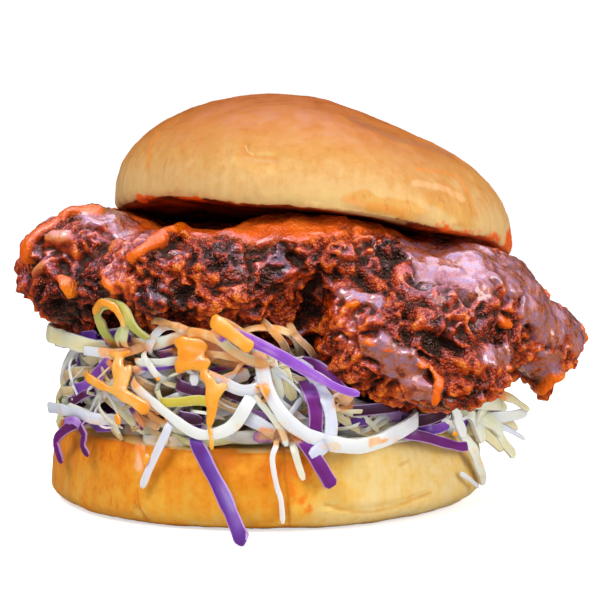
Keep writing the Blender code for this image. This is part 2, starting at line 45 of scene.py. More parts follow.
# Soft lights: place, size, power and tint. Then the sky's light, the sheen that glossy skins mirror, and the paper.
LIGHTS_AIM = (0.0, 0.0, 0.05)
LIGHTS = {
    "key": ((-0.35, -0.5, 0.7), (0.45, 0.35), 5.2, (1.0, 0.95, 0.88)),
    "fill": ((0.7, -0.4, 0.34), (0.5, 0.5), 4.2, (1.0, 0.96, 0.94)),
    "top": ((0.05, 0.25, 0.8), (0.6, 0.5), 2.0, (0.98, 0.9, 0.86)),
}
SKY = {"Color": (0.95, 0.95, 1.0, 1.0), "Strength": 0.37}
SHEEN_TINT = (0.44, 0.47, 0.92, 1.0)
SHEEN_STRENGTH = (0.02, 4.0)
PAPER_GLOW = 0.62
# Paper floor: half its width, its front, back and top edge and the radius of its bend.
PAPER = (3.0, -2.0, 1.6, 1.6, 0.6)

# The solids' own measures.
CROWN_PLACE = Vector((11.5, 0.0, 63.6)) * MM
CROWN_TURN = Euler((math.radians(-8.8), math.radians(5.5), 0.0))
CROWN_HEIGHT = 31.3 * MM
HEEL_HEIGHT = 20.0 * MM
SLAW_RADIUS = 44.0 * MM
SLAW_TOP = 41.0 * MM

# How finely the solids are copied, and how many rounds smooth their facets away.
FILLET_CELL, FILLET_ROUNDS, FILLET_FACES = 0.5 * MM, 12, 190000
BUN_CELL, CROWN_ROUNDS, HEEL_ROUNDS = 0.8 * MM, 12, 10
SAUCE_CELL, SAUCE_ROUNDS = 0.35 * MM, 8
WELD = 0.002 * MM

# A mask ends at this many times a place's half size, or a line's half width, and is full one such size further in.
PATCH_END, LINE_END = 1.6, 1.5
# The crown's right corner droops: from this x on, below this height, and by how much.
DROOP_X, DROOP_Z, DROOP = 49 * MM, 67 * MM, 2.0 * MM
# The heel is browned at the left and pale at the right: the middle between them and the way from one to the other.
WARM_MIDDLE, WARM_WAY = 13.0 * MM, 26.0 * MM

# Shreds: how far they stay off what carries them and off the table, and the furthest that they are pushed out.
SHRED_CLEAR = 1.0 * MM
SAUCE_CLEAR = 1.6 * MM
FILL_CLEAR = 0.7 * MM
THREAD_CLEAR = 0.5 * MM
FLOOR_CLEAR = 0.35 * MM
MOST_PUSH = 3.5 * MM
HIDDEN_RADIUS = SLAW_RADIUS + 1.5 * MM  # nearer the axis than this a shred may run inside what carries it
FAR = 300.0 * MM
CRISP = 50

# Shreds that the front shows: width in mm at the start and end, tone, and points of (bearing, height, radius) in mm.
WHITE_SHREDS = {
    "loop": (2.7, 3.9, 0.8, ((-4, 42, 43), (-1, 38.7, 51), (1, 32, 54), (6, 25, 54.8), (13, 21, 55), (22, 19.3, 55),
        (31, 20.8, 54), (38, 23.6, 51.5), (45, 25, 43))),
    "hook": (1.3, 3.6, 0.72, ((-38, 34, 43), (-34, 32.6, 52), (-26, 27.6, 53), (-17, 22.6, 53.5), (-12, 22.2, 53.6),
        (-7, 24.4, 53.6), (-3, 30.2, 53), (0, 33, 44))),
    "left": (2.5, 2.2, 0.92, ((-62, 37, 42), (-55, 38.1, 50.5), (-48, 38.2, 51), (-41, 38.2, 51), (-35, 39.5, 51),
        (-31, 40.9, 50), (-27, 42, 42))),
    "low left": (2.7, 2.4, 0.95, ((-81, 22.2, 52.4), (-68, 23.2, 51.8), (-56, 23.7, 52), (-46, 23.2, 52),
        (-40, 23, 43))),
    "thin drop": (1.4, 1.2, 0.7, ((2, 23, 43), (3, 20.2, 52), (2, 17, 53.4), (3, 11, 53.4), (4, 7.9, 53.3),
        (4.5, 2.6, 53))),
    "short drop": (1.8, 1.6, 0.5, ((6, 24, 43), (7, 19.6, 52.5), (8, 15.9, 53.6), (9.3, 12.2, 53.8))),
    "slanted drop": (2.1, 1.9, 0.92, ((-21, 28, 42), (-23, 24.4, 51.5), (-25, 19.9, 53.2), (-28, 14.4, 53.5),
        (-30.5, 9.3, 53.4))),
    "arch": (1.9, 1.9, 0.88, ((-32, 36, 43), (-30, 39.4, 51), (-28, 42.8, 51.6), (-25.5, 45, 51.6), (-22, 45.6, 51.6),
        (-19, 44.8, 51), (-17, 43, 44))),
    "peach ribbon": (2.3, 1.9, 0.3, ((-22, 42, 44), (-19, 44, 51.5), (-15, 43.9, 52), (-11, 42.9, 52.5),
        (-8, 40.9, 52.6), (-4, 38.8, 52.6), (1, 37.5, 52.5), (4, 37, 44))),
    "middle": (3.4, 2, 0.9, ((-18, 36.5, 43), (-14.5, 35.3, 52), (-9, 33.2, 53), (-5, 31.8, 53), (-1, 32.6, 52.5),
        (2, 34, 44))),
    "tip": (2.4, 2.2, 0.9, ((-17, 38, 44), (-17, 35.6, 51.5), (-17, 32.6, 52.3))),
    "mint band": (1.8, 2.1, 0.6, ((-38, 36, 43), (-34, 36.9, 51), (-28, 37, 51.4), (-23, 37.6, 51.3), (-18, 38, 44))),
    "slim diagonal": (1.5, 1.5, 0.65, ((-33, 41.5, 44), (-31, 39.1, 51.8), (-29, 36.6, 52.2), (-26, 34, 52.2),
        (-24.5, 32.4, 45))),
    "crossing": (1.5, 1.4, 0.55, ((-5, 32, 44), (-3, 31.3, 52), (0, 28.2, 53), (4, 23.4, 53.4), (5.4, 19.6, 53))),
    "blob": (3.6, 3, 0.95, ((-7, 26.6, 45), (-4, 25.6, 51.5), (-1, 24.4, 52.3), (2.5, 22.6, 52))),
    "chunk high": (2.8, 2.4, 0.55, ((1.5, 39, 44), (2, 37.1, 51), (3, 33.5, 51.8), (4, 29.6, 51))),
    "chunk high right": (2.6, 2.6, 0.32, ((4, 38, 44), (5, 36.1, 50.6), (6, 32.6, 51.2), (7.4, 29.5, 50.5))),
    # The shreds under the fillet get low, brown tones: painted shade.
    "under left lobe": (1.1, 2.3, 0, ((-33, 43.6, 44), (-27, 46.6, 49.2), (-20, 45, 49.8), (-13, 42, 44))),
    "under lobe middle": (2.4, 1, 0.1, ((-17, 45.2, 44), (-10, 46.8, 49.4), (-3, 43, 49.2), (3, 40.4, 44))),
    "under lobe low": (1.3, 2, 0, ((-1, 47, 44), (2, 44.8, 49.4), (5, 41.6, 49.8), (6.4, 38.4, 44))),
    "under fillet": (1.8, 1.5, 0.02, ((7, 45.6, 44), (8.4, 43.2, 50), (11.6, 40.4, 50), (15, 37.4, 44))),
    "brown leaf": (4.4, 4, 0.05, ((-40, 33.4, 43), (-37, 33, 49.6), (-34, 31.8, 50), (-31, 30.6, 49.8),
        (-28, 29, 43))),
    "brown strip": (2.2, 1.8, 0.12, ((-14, 29.2, 44), (-11, 28.9, 50.5), (-8, 27.9, 50.7), (-4.6, 26.8, 50))),
    "pale flake": (4.2, 3.6, 0.4, ((-88, 39, 43), (-80, 40.4, 50.8), (-66, 40.2, 51.4), (-54, 39.4, 51.2),
        (-46, 37.6, 44))),
    "strand high": (2.4, 2.2, 0.12, ((-84, 29, 43), (-72, 30.5, 49.5), (-60, 32.6, 49), (-50, 34, 42))),
    "strand low": (2.4, 2, 0.16, ((-88, 25, 43), (-76, 26.4, 49.5), (-62, 28.2, 50), (-48, 31, 42))),
    "fold leaf": (2.8, 3, 0.97, ((13, 34, 44), (14.2, 30.9, 54), (15.4, 27.1, 54.6), (15.6, 22.3, 54.8),
        (13.4, 19.4, 55), (10.6, 17.6, 55))),
    "right upright": (3.4, 2.8, 0.7, ((55, 28, 43), (56, 25, 51.5), (57, 21.7, 52.6), (59, 18, 53.2))),
    "right upright far": (3.6, 3.6, 0.42, ((74, 28, 43), (73, 24, 50.5), (70.5, 21.5, 51.5), (68.5, 18.6, 52.6))),
    "right top": (3.6, 2, 0.3, ((66, 27, 43), (73, 26.6, 51.2), (81, 24.8, 57.5), (83.6, 21.4, 62.9))),
    "right straight": (3.6, 2.8, 0.75, ((68, 20, 43), (75.4, 20.1, 51.7), (82, 20.1, 59), (84, 20.6, 62.4))),
    "right slanted": (4, 3.3, 0.4, ((72, 20, 43), (77, 18.8, 53.7), (80, 13.5, 57.6), (81.5, 10.6, 59.6))),
    "right short": (2.2, 1.3, 0.95, ((66, 21, 42), (74, 20.6, 51), (81, 17.4, 57), (84.4, 14.2, 61.8))),
    "right leaf": (5.2, 4, 0.5, ((64, 22, 43), (70, 21.6, 51.4), (75, 19.6, 54.6), (79, 16.6, 57))),
    "right leaf low": (4.4, 3, 0.35, ((66, 19, 43), (71, 18.4, 51.6), (75.4, 15.6, 54.6), (78.6, 12.6, 57))),
    "right leaf high": (4.4, 2.4, 0.45, ((62, 25, 43), (69, 24.8, 51.4), (76, 23.6, 54.6), (81, 22.4, 57.6))),
    "right body": (5.6, 4.6, 0.55, ((66, 24, 43), (68.5, 22.6, 51), (70, 19, 52.6), (70.6, 15.4, 53.8))),
    "right behind": (4.4, 3.2, 0.35, ((76, 24, 43), (80, 22.8, 52.4), (84, 19, 57), (86, 16.6, 60))),
    "right below": (2.6, 2.2, 0.5, ((70, 18.5, 43), (76, 17, 53.2), (80, 13.4, 55.6))),
    "right over edge": (2.8, 2.6, 0.6, ((60, 21, 42), (61.5, 15.8, 53), (66.5, 10.7, 53.7), (73, 5.2, 53.7))),
    "right tiny": (1.3, 0.9, 0.9, ((58, 9.6, 52.6), (60, 8.5, 53.4), (66.5, 5.2, 53.9))),
}
PURPLE_SHREDS = {
    "hanging": (3.4, 3.5, 0.58, ((-19, 26, 42), (-16.8, 21.3, 52), (-13.8, 16.2, 53.6), (-9.8, 10.4, 55.5),
        (-6.2, 4.8, 60), (-4.4, 1.8, 64), (-3.4, 1, 67.5))),
    "across": (3.8, 1.7, 0.84, ((-14, 42, 43), (-9, 44.6, 54), (-4, 43.4, 55.4), (1, 41.3, 56), (6, 38.6, 56.4),
        (12, 35, 57), (17, 32.4, 57.6), (21, 31.2, 58.2))),
    "fold": (3.2, 3.4, 0.42, ((10, 35, 42), (11, 31.3, 53.6), (12, 28, 54.3), (12, 23.6, 54.4), (11.6, 20, 52))),
    "fold low": (2.8, 3.6, 0.42, ((7.5, 22.6, 50), (9, 21.1, 54), (11, 18.4, 54.6), (13, 15.3, 54.8),
        (16, 10.6, 54.5))),
    "curl out": (3.2, 2.2, 0.34, ((-52, 25, 42), (-55, 21.5, 52), (-61, 19.1, 53), (-65, 16.2, 53.5),
        (-62.5, 13.3, 53.8), (-61, 11.7, 53.6))),
    "curl in": (2.6, 1.8, 0.3, ((-51, 25, 42), (-52, 21.7, 52.5), (-49.5, 19.5, 53.6), (-50, 16.9, 53.8),
        (-48, 14.8, 53.6))),
    "curl top": (2.2, 2, 0.95, ((-65, 19, 51), (-60, 21.2, 53), (-55, 22.2, 53.4), (-51.6, 21.4, 53.4))),
    "left": (2.6, 2, 0.2, ((-66, 24, 44), (-64, 25, 50.4), (-58, 26.7, 50.6), (-54, 28.3, 50), (-50, 30, 43))),
    "thin line": (0.9, 0.8, 0.62, ((-39, 35.6, 44), (-37, 35.8, 51.4), (-30, 35.6, 51.8), (-24, 36.2, 51.6),
        (-21, 36.5, 44))),
    "wedge": (2.4, 1.6, 0.25, ((-30, 38, 43), (-27, 38.7, 50.4), (-24, 39.5, 50.6), (-20, 40.4, 44))),
    "maroon left": (2.8, 2.4, 0.1, ((-25, 33, 43), (-22, 32.5, 50.6), (-18, 31.4, 51), (-14, 31, 50.4),
        (-12, 31, 44))),
    "maroon right": (2.4, 1.8, 0.1, ((-12, 31.5, 44), (-9, 31.1, 50.8), (-5, 29.7, 51), (-3, 29, 45))),
    "maroon chunk": (2.8, 2.6, 0, ((-23, 25.6, 45), (-21, 25.5, 51.6), (-18, 25.2, 52), (-15.6, 24.7, 51))),
    "right tip": (2.6, 2.2, 0.35, ((33, 21.5, 44), (37, 20.8, 52), (43, 19.5, 52.8), (49, 17.8, 53), (57, 15.9, 53.2),
        (63, 15.5, 53.2))),
    "right mass": (4, 3.2, 0.06, ((42, 21.6, 44), (45, 22.1, 51), (52, 23.6, 51.4), (60, 24.8, 51), (64, 25, 44))),
    # These two dark maroon shreds are painted shade in the gap under the fillet.
    "under middle": (2.6, 2.2, 0, ((16, 26, 46), (22, 26.6, 50.8), (30, 27.2, 50.8), (38, 26.6, 46))),
    "right mass low": (3, 2.6, 0.02, ((34, 23.4, 46), (40, 23.6, 51), (48, 25.2, 51.2), (56, 27, 46))),
    "right facet": (2.4, 2, 0.7, ((42, 20.6, 45), (44, 20.9, 51.8), (49, 20.9, 52.2), (53, 21.8, 51.8),
        (57, 23, 46))),
    "right under": (1.6, 1.2, 0.05, ((72, 25.4, 44), (75, 25.2, 51.6), (80, 23.8, 56))),
    "chunk": (3, 3, 0.55, ((18, 23, 42), (23, 24.4, 50), (27.5, 24.4, 50), (32, 22, 42))),
}
GREEN_SHREDS = {
    "arch": (2.7, 2.6, 0.4, ((-45, 36, 42), (-45.5, 42, 50), (-44, 47, 52), (-38.5, 50, 53), (-33, 48.8, 53),
        (-31, 45, 52), (-29, 39, 42))),
    "inner": (2.2, 2, 0.75, ((-44, 37, 42), (-40.5, 41, 51), (-36.5, 44.4, 52), (-31, 46.4, 53))),
    "stem": (2.3, 2.1, 0.8, ((-38, 37, 43), (-37, 40.4, 51.8), (-35, 43.8, 52.3), (-34, 46.8, 52.4))),
    "low": (2, 2.4, 0.05, ((-29, 28, 43), (-26, 28.4, 51.4), (-21, 28.7, 51.8), (-16, 29.3, 51.8), (-12, 28.7, 51),
        (-9, 28, 44))),
    "right high": (1.4, 1.2, 0.5, ((54, 25, 44), (57, 25.4, 50.8), (64, 26.8, 51), (76, 27.8, 51))),
}
# Runs of thick orange sauce over the slaw, laid out in the same way, without a tone.
SAUCE_RUNS = {
    "strand": (1.7, 3.8, ((-51, 33.6, 51), (-49, 32.9, 53.2), (-43, 31.3, 53.8), (-37, 30.2, 54.2), (-32, 28.7, 54.4),
        (-28, 26.6, 54.2))),
    "web": (3.2, 3, ((-38, 38.6, 51.8), (-38, 36.3, 52.8), (-37.4, 33.7, 53.4), (-36.8, 31, 54))),
    "web right": (1.8, 2.4, ((-34.6, 36.6, 52.2), (-35.2, 33.6, 53.2), (-35.6, 31, 53.8))),
    "left film": (1.8, 2, ((-42, 38.4, 52.2), (-38, 38.4, 52.4), (-34.5, 39.3, 52.4))),
    "patch top": (3.2, 2.8, ((-22, 43.2, 51), (-20, 42, 52.4), (-16, 41.6, 52.8), (-13.4, 41, 52.4))),
    "patch": (4.2, 3.8, ((-21, 39.6, 51.8), (-17.5, 39.4, 53), (-14, 39.2, 52.8))),
    "band": (3.8, 3, ((-22, 36.2, 52), (-19, 36.8, 53.2), (-15, 37.4, 53.4), (-12.6, 38.3, 53))),
    "fall": (3.4, 1.9, ((-15, 35.6, 53), (-12.4, 34, 54.2), (-12, 31, 54.4), (-12, 27.7, 54.4), (-12.8, 23.5, 54.4))),
    "fall right": (2.4, 1.2, ((-8.6, 33.6, 54), (-10.4, 31.6, 54.3), (-11.8, 28.8, 54.3))),
    "heel drip": (1.8, 2.2, ((-12.8, 24, 54.2), (-12.2, 21, 54.4), (-12, 18.6, 54.4))),
    "lump": (3.4, 4.2, ((-12, 47.4, 53), (-10, 46.7, 55.2), (-7, 44.6, 56.4), (-4, 42.4, 56.8), (-2.4, 41.2, 56.6))),
    "green top": (2.8, 2.4, ((-43.6, 47.4, 52.8), (-38.5, 50.4, 54), (-34, 49.2, 53.8))),
    "green drip": (1.8, 1.4, ((-35, 49.6, 53.8), (-33.6, 47.4, 54), (-33, 44.6, 53.6))),
    "loop spot": (1.7, 1.4, ((0.3, 33.6, 55), (1, 30.8, 55.2))),
    "middle tip": (1.3, 1.2, ((-2.2, 32.6, 53.6), (-0.4, 33.2, 53.4))),
    "slim end": (1.4, 1.6, ((-26.4, 34.4, 53), (-25.8, 33, 53))),
    "right yellow": (1.8, 1.4, ((53, 19.6, 53.4), (55.5, 18.6, 53.6))),
    "beside drop": (2, 1.7, ((-28.6, 17.2, 53.6), (-29.4, 14.4, 53.9))),
    "low left": (2.4, 2.2, ((-39, 25.4, 52.6), (-37.6, 22.6, 53.2))),
}

# Shreds that fill the rest, drawn at random: how many of each kind, and inside which bounds. The slope is in
# degrees; how far the loose end pokes out and how far a shred bends are in mm.
FILL_SEED = 7
FILL_COUNTS = {"white": 210, "purple": 50, "green": 30}
FILL_LENGTH = (15.0 * MM, 36.0 * MM)
FILL_WIDTH = (1.9 * MM, 4.0 * MM)
FILL_SLOPE, FILL_POKE, FILL_BEND = 24, (-3, 3.5), (-5, 5)
FILL_TUCK = 40.5 * MM
FILL_LAID = (43.5 * MM, 49.5 * MM)
FILL_UNDER = 1.6 * MM
FILL_REACH = 54.5 * MM
HEEL_FACE_RADIUS = 48.0 * MM
CLEAR_FRONT = 96.0  # no shred drawn at random hangs over the heel within this bearing
FRONT_FLOOR, BACK_FLOOR = HEEL_HEIGHT + 1.2 * MM, 12 * MM
# Thin threads and scraps over the front of the heap, drawn at random too: number, bearings and sizes. The slope is
# in degrees; the curl and how deep the loose end is sunk are in mm.
THREAD_SEED, THREAD_COUNT = 23, 85
THREAD_SPAN = (-62.0, 62.0)
THREAD_SLOPE, THREAD_CURL, THREAD_SUNK = 60, 2.5, (-0.6, 4.0)
THREAD_FLOOR, THREAD_UNDER = HEEL_HEIGHT + 1.6 * MM, 2.2 * MM
THREAD_LENGTH = (6.0 * MM, 17.0 * MM)
THREAD_WIDTH = (0.7 * MM, 1.4 * MM)
THREAD_LAID = (49.8 * MM, 52.4 * MM)
# Inside of the heap: points round it and up it, its radius, how uneven that is, and where its foot and top are felt.
CORE_STEPS, CORE_RINGS = 120, 14
CORE_RADIUS, CORE_LUMP, CORE_FOOT = 41.6 * MM, 1.3 * MM, 40.0 * MM

# Places in mm: middle, half length, half height, depth and slope in degrees as the front shows them.
# Glazed planes are smooth sauce film; part of their violet colour is a painted reflection.
GLAZED_PLANES = {
    "shoulder": ((-27.6, -26.4, 65.3), 7, 3, 10, -12),
    "left fold top": ((-36, -24.5, 69.2), 6, 2.8, 8, -5),
    "brow": ((39.7, -39.9, 60.1), 10, 5.5, 12, -35),
    "brow edge": ((45.3, -45.7, 56), 6.5, 3.4, 8, -40),
    "right shoulder": ((53, -38, 57), 7, 3.6, 12, -45),
    "right end": ((64, -31, 46), 8.4, 5.2, 14, -35),
    "right rim": ((72, -14, 42), 2.6, 6, 12, 0),
    "right crest": ((58, -22, 56), 7, 3, 16, -38),
    "right top": ((46, -28, 62), 7, 2.8, 12, -20),
    "right underside": ((64, -26, 34), 5, 3, 12, 30),
    "right ledge": ((53.3, -45.5, 38.8), 5.6, 2.6, 8, -15),
    "front lobe": ((29.9, -55.8, 37.4), 9.8, 3.4, 9, -38),
    "middle ridge": ((20, -50.7, 52.5), 5.2, 1.3, 7, -5),
}
CREAM_SPOTS = {
    "left fold": ((-46.2, -32, 63.4), 3.4, 2.2, 5, 8),
    "left low": ((-50.6, -31.6, 58.6), 2.4, 1.3, 5, 35),
}
# Darkened places on the fillet: real browning, and painted shade in the middle place, by the middle cleft's cave, and
# in the hollow place, by the front lobe.
BROWNED_AND_SHADED = {
    "middle": ((9.4, -46, 51), 1.3, 9, 12, -8),
    "knob": ((-2, -48, 58.4), 10.5, 5.4, 12, -6),
    "left": ((-47, -38, 48), 14, 9, 22, 0),
    "left middle": ((-22, -50, 50), 8, 5, 12, 10),
    "brow": ((32, -50, 60), 8, 3, 10, -20),
    "hollow": ((38, -54, 44), 5, 4, 8, -30),
}
SAUCE_SPLASHES = {
    "left": ((-31, -41, 39.5), 6, 1.8, 12, 5),
    "left web": ((-31, -42, 35), 4, 2.4, 12, 0),
    "patch": ((-15, -49, 40.5), 6, 4, 9, 0),
    "right of patch": ((-8, -51, 38), 4, 3, 7, 10),
    "ribbon end": ((-2, -52, 38.5), 4, 1.6, 7, -20),
    "left low": ((-26, -46, 25), 4, 2, 9, 0),
    "loop top": ((0, -54, 31.5), 1.6, 2.4, 5, 0),
    "loop": ((25, -48.5, 19.8), 2.4, 1, 5, 0),
    "behind fold": ((17, -47, 28.5), 3, 3, 6, 0),
    "under strands": ((4, -51, 21.5), 5, 1.8, 7, 0),
    "right top": ((56, -10, 25), 3, 1.4, 6, 0),
    "under lobe": ((-8, -47, 45), 15, 2.2, 7, -4),
}
CROWN_STAINS = {
    "left": ((-27.2, -26.1, 72.4), 2, 1, 6, -4),
    "middle left": ((-16.8, -37.2, 72.4), 3.4, 0.8, 6, -4),
    "right corner": ((47, -26, 62.4), 12, 3, 26, -14),
    "right end": ((56, -12, 61), 5, 3.4, 14, 0),
}
CROWN_AMBER = {
    "right": ((42.6, -34, 71.6), 7, 3.2, 12, -28),
    "front right": ((27.6, -43, 71.4), 8.5, 1.7, 8, -14),
}
HEEL_STAINS = {
    "under drip": ((-10.4, -51, 18), 2.6, 3.4, 6, 80),
    "beside seam": ((8, -51.5, 12), 3, 6, 6, 0),
}
POOL_PLACE = Vector((4.0, -2.0, 66.0)) * MM
POOL_REACH = Vector((38.0, 45.0, 9.0)) * MM

# Lines in mm: half width and points of (x, y, z). Sauce stands up on the fillet, the others are pressed in.
SAUCE_RIDGES = {
    "tongue": (1.7, ((-28.3, -49.9, 61), (-26.5, -50, 62.5), (-23.1, -48.9, 64.6), (-20.6, -42, 66.2),
        (-19, -34.2, 66.7))),
    "left fold": (2, ((-55, -27, 59), (-54, -27.4, 62.5), (-51, -26.4, 66.4), (-48.6, -26, 68))),
    "left roll": (1.9, ((-45.6, -25.6, 69.4), (-42, -25.2, 70.2), (-38.5, -24.8, 70))),
    "left lump": (1.7, ((-46, -36.5, 56.4), (-44.6, -37.4, 54), (-44, -38, 51.6))),
    "lobe rim": (0.75, ((22.2, -54.8, 43), (29, -54.9, 41.2), (34.4, -54.8, 38.4), (37.8, -54.2, 35), (38.2, -54, 32),
        (37, -54, 29))),
    "right drip": (1.5, ((70, -20, 34), (66, -24, 31), (63.3, -22.3, 28))),
    "right rim": (1.3, ((75, -6, 46), (75, -8, 41), (72, -14, 36.5))),
    "ledge rim": (0.9, ((48, -48, 36.6), (53, -46, 35.6), (58, -43, 36.6))),
    "flap rim": (0.6, ((15, -51, 50.6), (20, -51.6, 50), (26, -51.6, 50.6))),
    "left beads": (1.2, ((-36.6, -46, 57), (-33, -47.6, 54.6))),
    "right lump": (1.4, ((51, -44.6, 47.6), (53.6, -43.4, 45.6))),
}
CLEFTS = {
    "left": (1.1, ((-15.6, -50, 62), (-16.6, -52.6, 58), (-17.3, -51.8, 51.5), (-17, -49.4, 44.7))),
    "knob": (1, ((-1.5, -49, 60.5), (3.5, -48.4, 62.2), (6, -48.4, 60))),
    "brow": (1.2, ((27, -48.6, 57.8), (32, -48.2, 56), (35, -48, 54))),
    "right hollow": (1.8, ((34.5, -55, 43.6), (37.7, -55.2, 42.5), (41, -53, 41))),
    "left hollow": (1.5, ((-25.6, -52.3, 54.8), (-23.4, -52.3, 53.6))),
}
CROWN_CREASE = {"crease": (0.7, ((-4.4, -39.2, 85.2), (-4.2, -41, 82.7), (-1.5, -42.4, 82.2), (2.2, -43.1, 82.1)))}
HEEL_SEAMS = {
    "front": (0.8, ((4.6, -52, 18), (5, -52.4, 11.9), (4.8, -52.6, 6.5), (4.3, -51, 0))),
    "fold": (0.6, ((13.4, -50.9, 6.3), (18, -49.3, 4.9), (23.4, -46.8, 4.6), (30, -42.6, 5), (37.3, -36.4, 6.4))),
    "left": (0.5, ((-30.5, -42.8, 9.6), (-29.6, -43.2, 5), (-26.2, -43, 1.2))),
}
# Thin painted lines: strength, tint and (half width, points of (x, z)) in mm.
# On the crown, the dark orange line along the crease is painted shade, and the pale line beside it and the pale line
# low on the right are painted highlights.
CROWN_LINES = (
    (0.5, (214, 126, 44), ((0.4, ((-4.4, 85.1), (-4, 82.8), (-2.7, 82.2), (2.4, 82.1))),)),
    (0.4, (250, 206, 150), ((0.35, ((-3.9, 84.9), (-3.4, 83.1), (-2.4, 82.7))),)),
    (0.45, (146, 92, 60), ((0.9, ((19.5, 90.6), (24, 88.6), (29.9, 86), (36.2, 84.5), (43.5, 81.8))),)),
    (0.4, (226, 130, 34), ((0.6, ((33.6, 79.3), (39, 79), (43.8, 77.4), (45.9, 74))),
        (1.4, ((17.7, 73.3), (21.5, 71.9), (26, 71.2), (30.6, 70.2))), (1, ((-24.8, 87), (-26.1, 85.2))),
        (1.1, ((-26.4, 83.4), (-26.9, 79.9))))),
    (0.3, (252, 206, 156), ((1, ((33.4, 76.4), (39, 75.6), (44.7, 72.6))),)),
    (0.5, (240, 208, 140), ((1, ((9.7, 72.4), (20, 70.4), (26, 69.2), (31, 67.6))),)),
)
# On the heel, the darker lines along the seams and the fold are painted shade, and the pink patch at the left is a
# painted highlight; the orange mark beside it is sauce.
HEEL_LINES = (
    (0.5, (206, 112, 22), ((0.45, ((4.4, 18), (4.6, 12), (5.3, 7.6), (5.7, 0))),
        (0.4, ((-28.2, 8.7), (-27.6, 4), (-25.7, 0.6))))),
    (0.4, (206, 140, 30), ((0.55, ((13.4, 6.3), (18, 4.6), (23.4, 3.9), (30, 4.4), (37.3, 6.2))),
        (0.6, ((30.4, 13.8), (31.6, 14.2))))),
    (0.85, (246, 192, 150), ((1.5, ((-27.6, 18), (-28, 13.4))),)),
    (0.9, (240, 140, 30), ((1.3, ((-27.9, 17.4), (-26.4, 14.4))),)),
)


def colour(red, green, blue):
    """A colour that is given as a screen shows it, 0 to 255, as the shader wants it."""
    shares = (value / 255 for value in (red, green, blue))
    return (*(s / 12.92 if s <= 0.04045 else ((s + 0.055) / 1.055) ** 2.4 for s in shares), 1.0)


def at_bearing(bearing, radius, height):
    angle = math.radians(bearing)
    return Vector((radius * math.sin(angle), -radius * math.cos(angle), height))


# ---- node trees


def reckoned(operation, turned=False):
    def method(self, other):
        return self.nodes.math(operation, *((other, self) if turned else (self, other)))
    return method


class Value:
    """A node's output to reckon with: each sum, product and so on adds a math node, and a | b is the greater."""

    __add__ = __radd__ = reckoned("ADD")
    __mul__ = __rmul__ = reckoned("MULTIPLY")
    __sub__, __rsub__ = reckoned("SUBTRACT"), reckoned("SUBTRACT", turned=True)
    __truediv__, __rtruediv__ = reckoned("DIVIDE"), reckoned("DIVIDE", turned=True)
    __or__, __pow__ = reckoned("MAXIMUM"), reckoned("POWER")

    def __init__(self, nodes, socket):
        self.nodes, self.socket = nodes, socket
        self.is_vector = socket.type in ("VECTOR", "RGBA")

    def __abs__(self):
        return self.nodes.math("ABSOLUTE", self)

    def parts(self):
        return [Value(self.nodes, socket) for socket in self.nodes.add("ShaderNodeSeparateXYZ", (self,)).outputs]

    def noise(self, scale, detail=2.0, roughness=0.5, distortion=0.0, output="Fac"):
        inputs = {"Vector": self, "Scale": scale, "Detail": detail, "Roughness": roughness, "Distortion": distortion}
        return self.nodes.value("ShaderNodeTexNoise", inputs, output)

    def wobble(self, *noise_inputs):
        """Noise about zero."""
        return self.noise(*noise_inputs) - 0.5

    def shaken(self, scale, detail, amount):
        """A place pushed about by noise."""
        return self + (self.noise(scale, detail, output="Color") - (0.5, 0.5, 0.5)) * amount

    def cells(self, scale, feature="F1", **inputs):
        """Distance to the nearest cell's middle, or to its edge."""
        inputs = {"Vector": self, "Scale": scale, **inputs}
        return self.nodes.value("ShaderNodeTexVoronoi", inputs, "Distance", feature=feature)

    def spread(self, low, high, to_low=0.0, to_high=1.0):
        """What lies between low and high, stretched smoothly to another range and cut off there."""
        inputs = (self, low, high, to_low, to_high)
        return self.nodes.value("ShaderNodeMapRange", inputs, interpolation_type="SMOOTHSTEP")

    def ramp(self, *stops):
        """Colours from stops of (place, red, green, blue)."""
        node = self.nodes.add("ShaderNodeValToRGB", (self,))
        line = node.color_ramp
        while len(line.elements) < len(stops):
            line.elements.new(0.5)
        for element, (place, *shade) in zip(line.elements, stops):
            element.position = place
            element.color = colour(*shade)
        return Value(self.nodes, node.outputs[0])


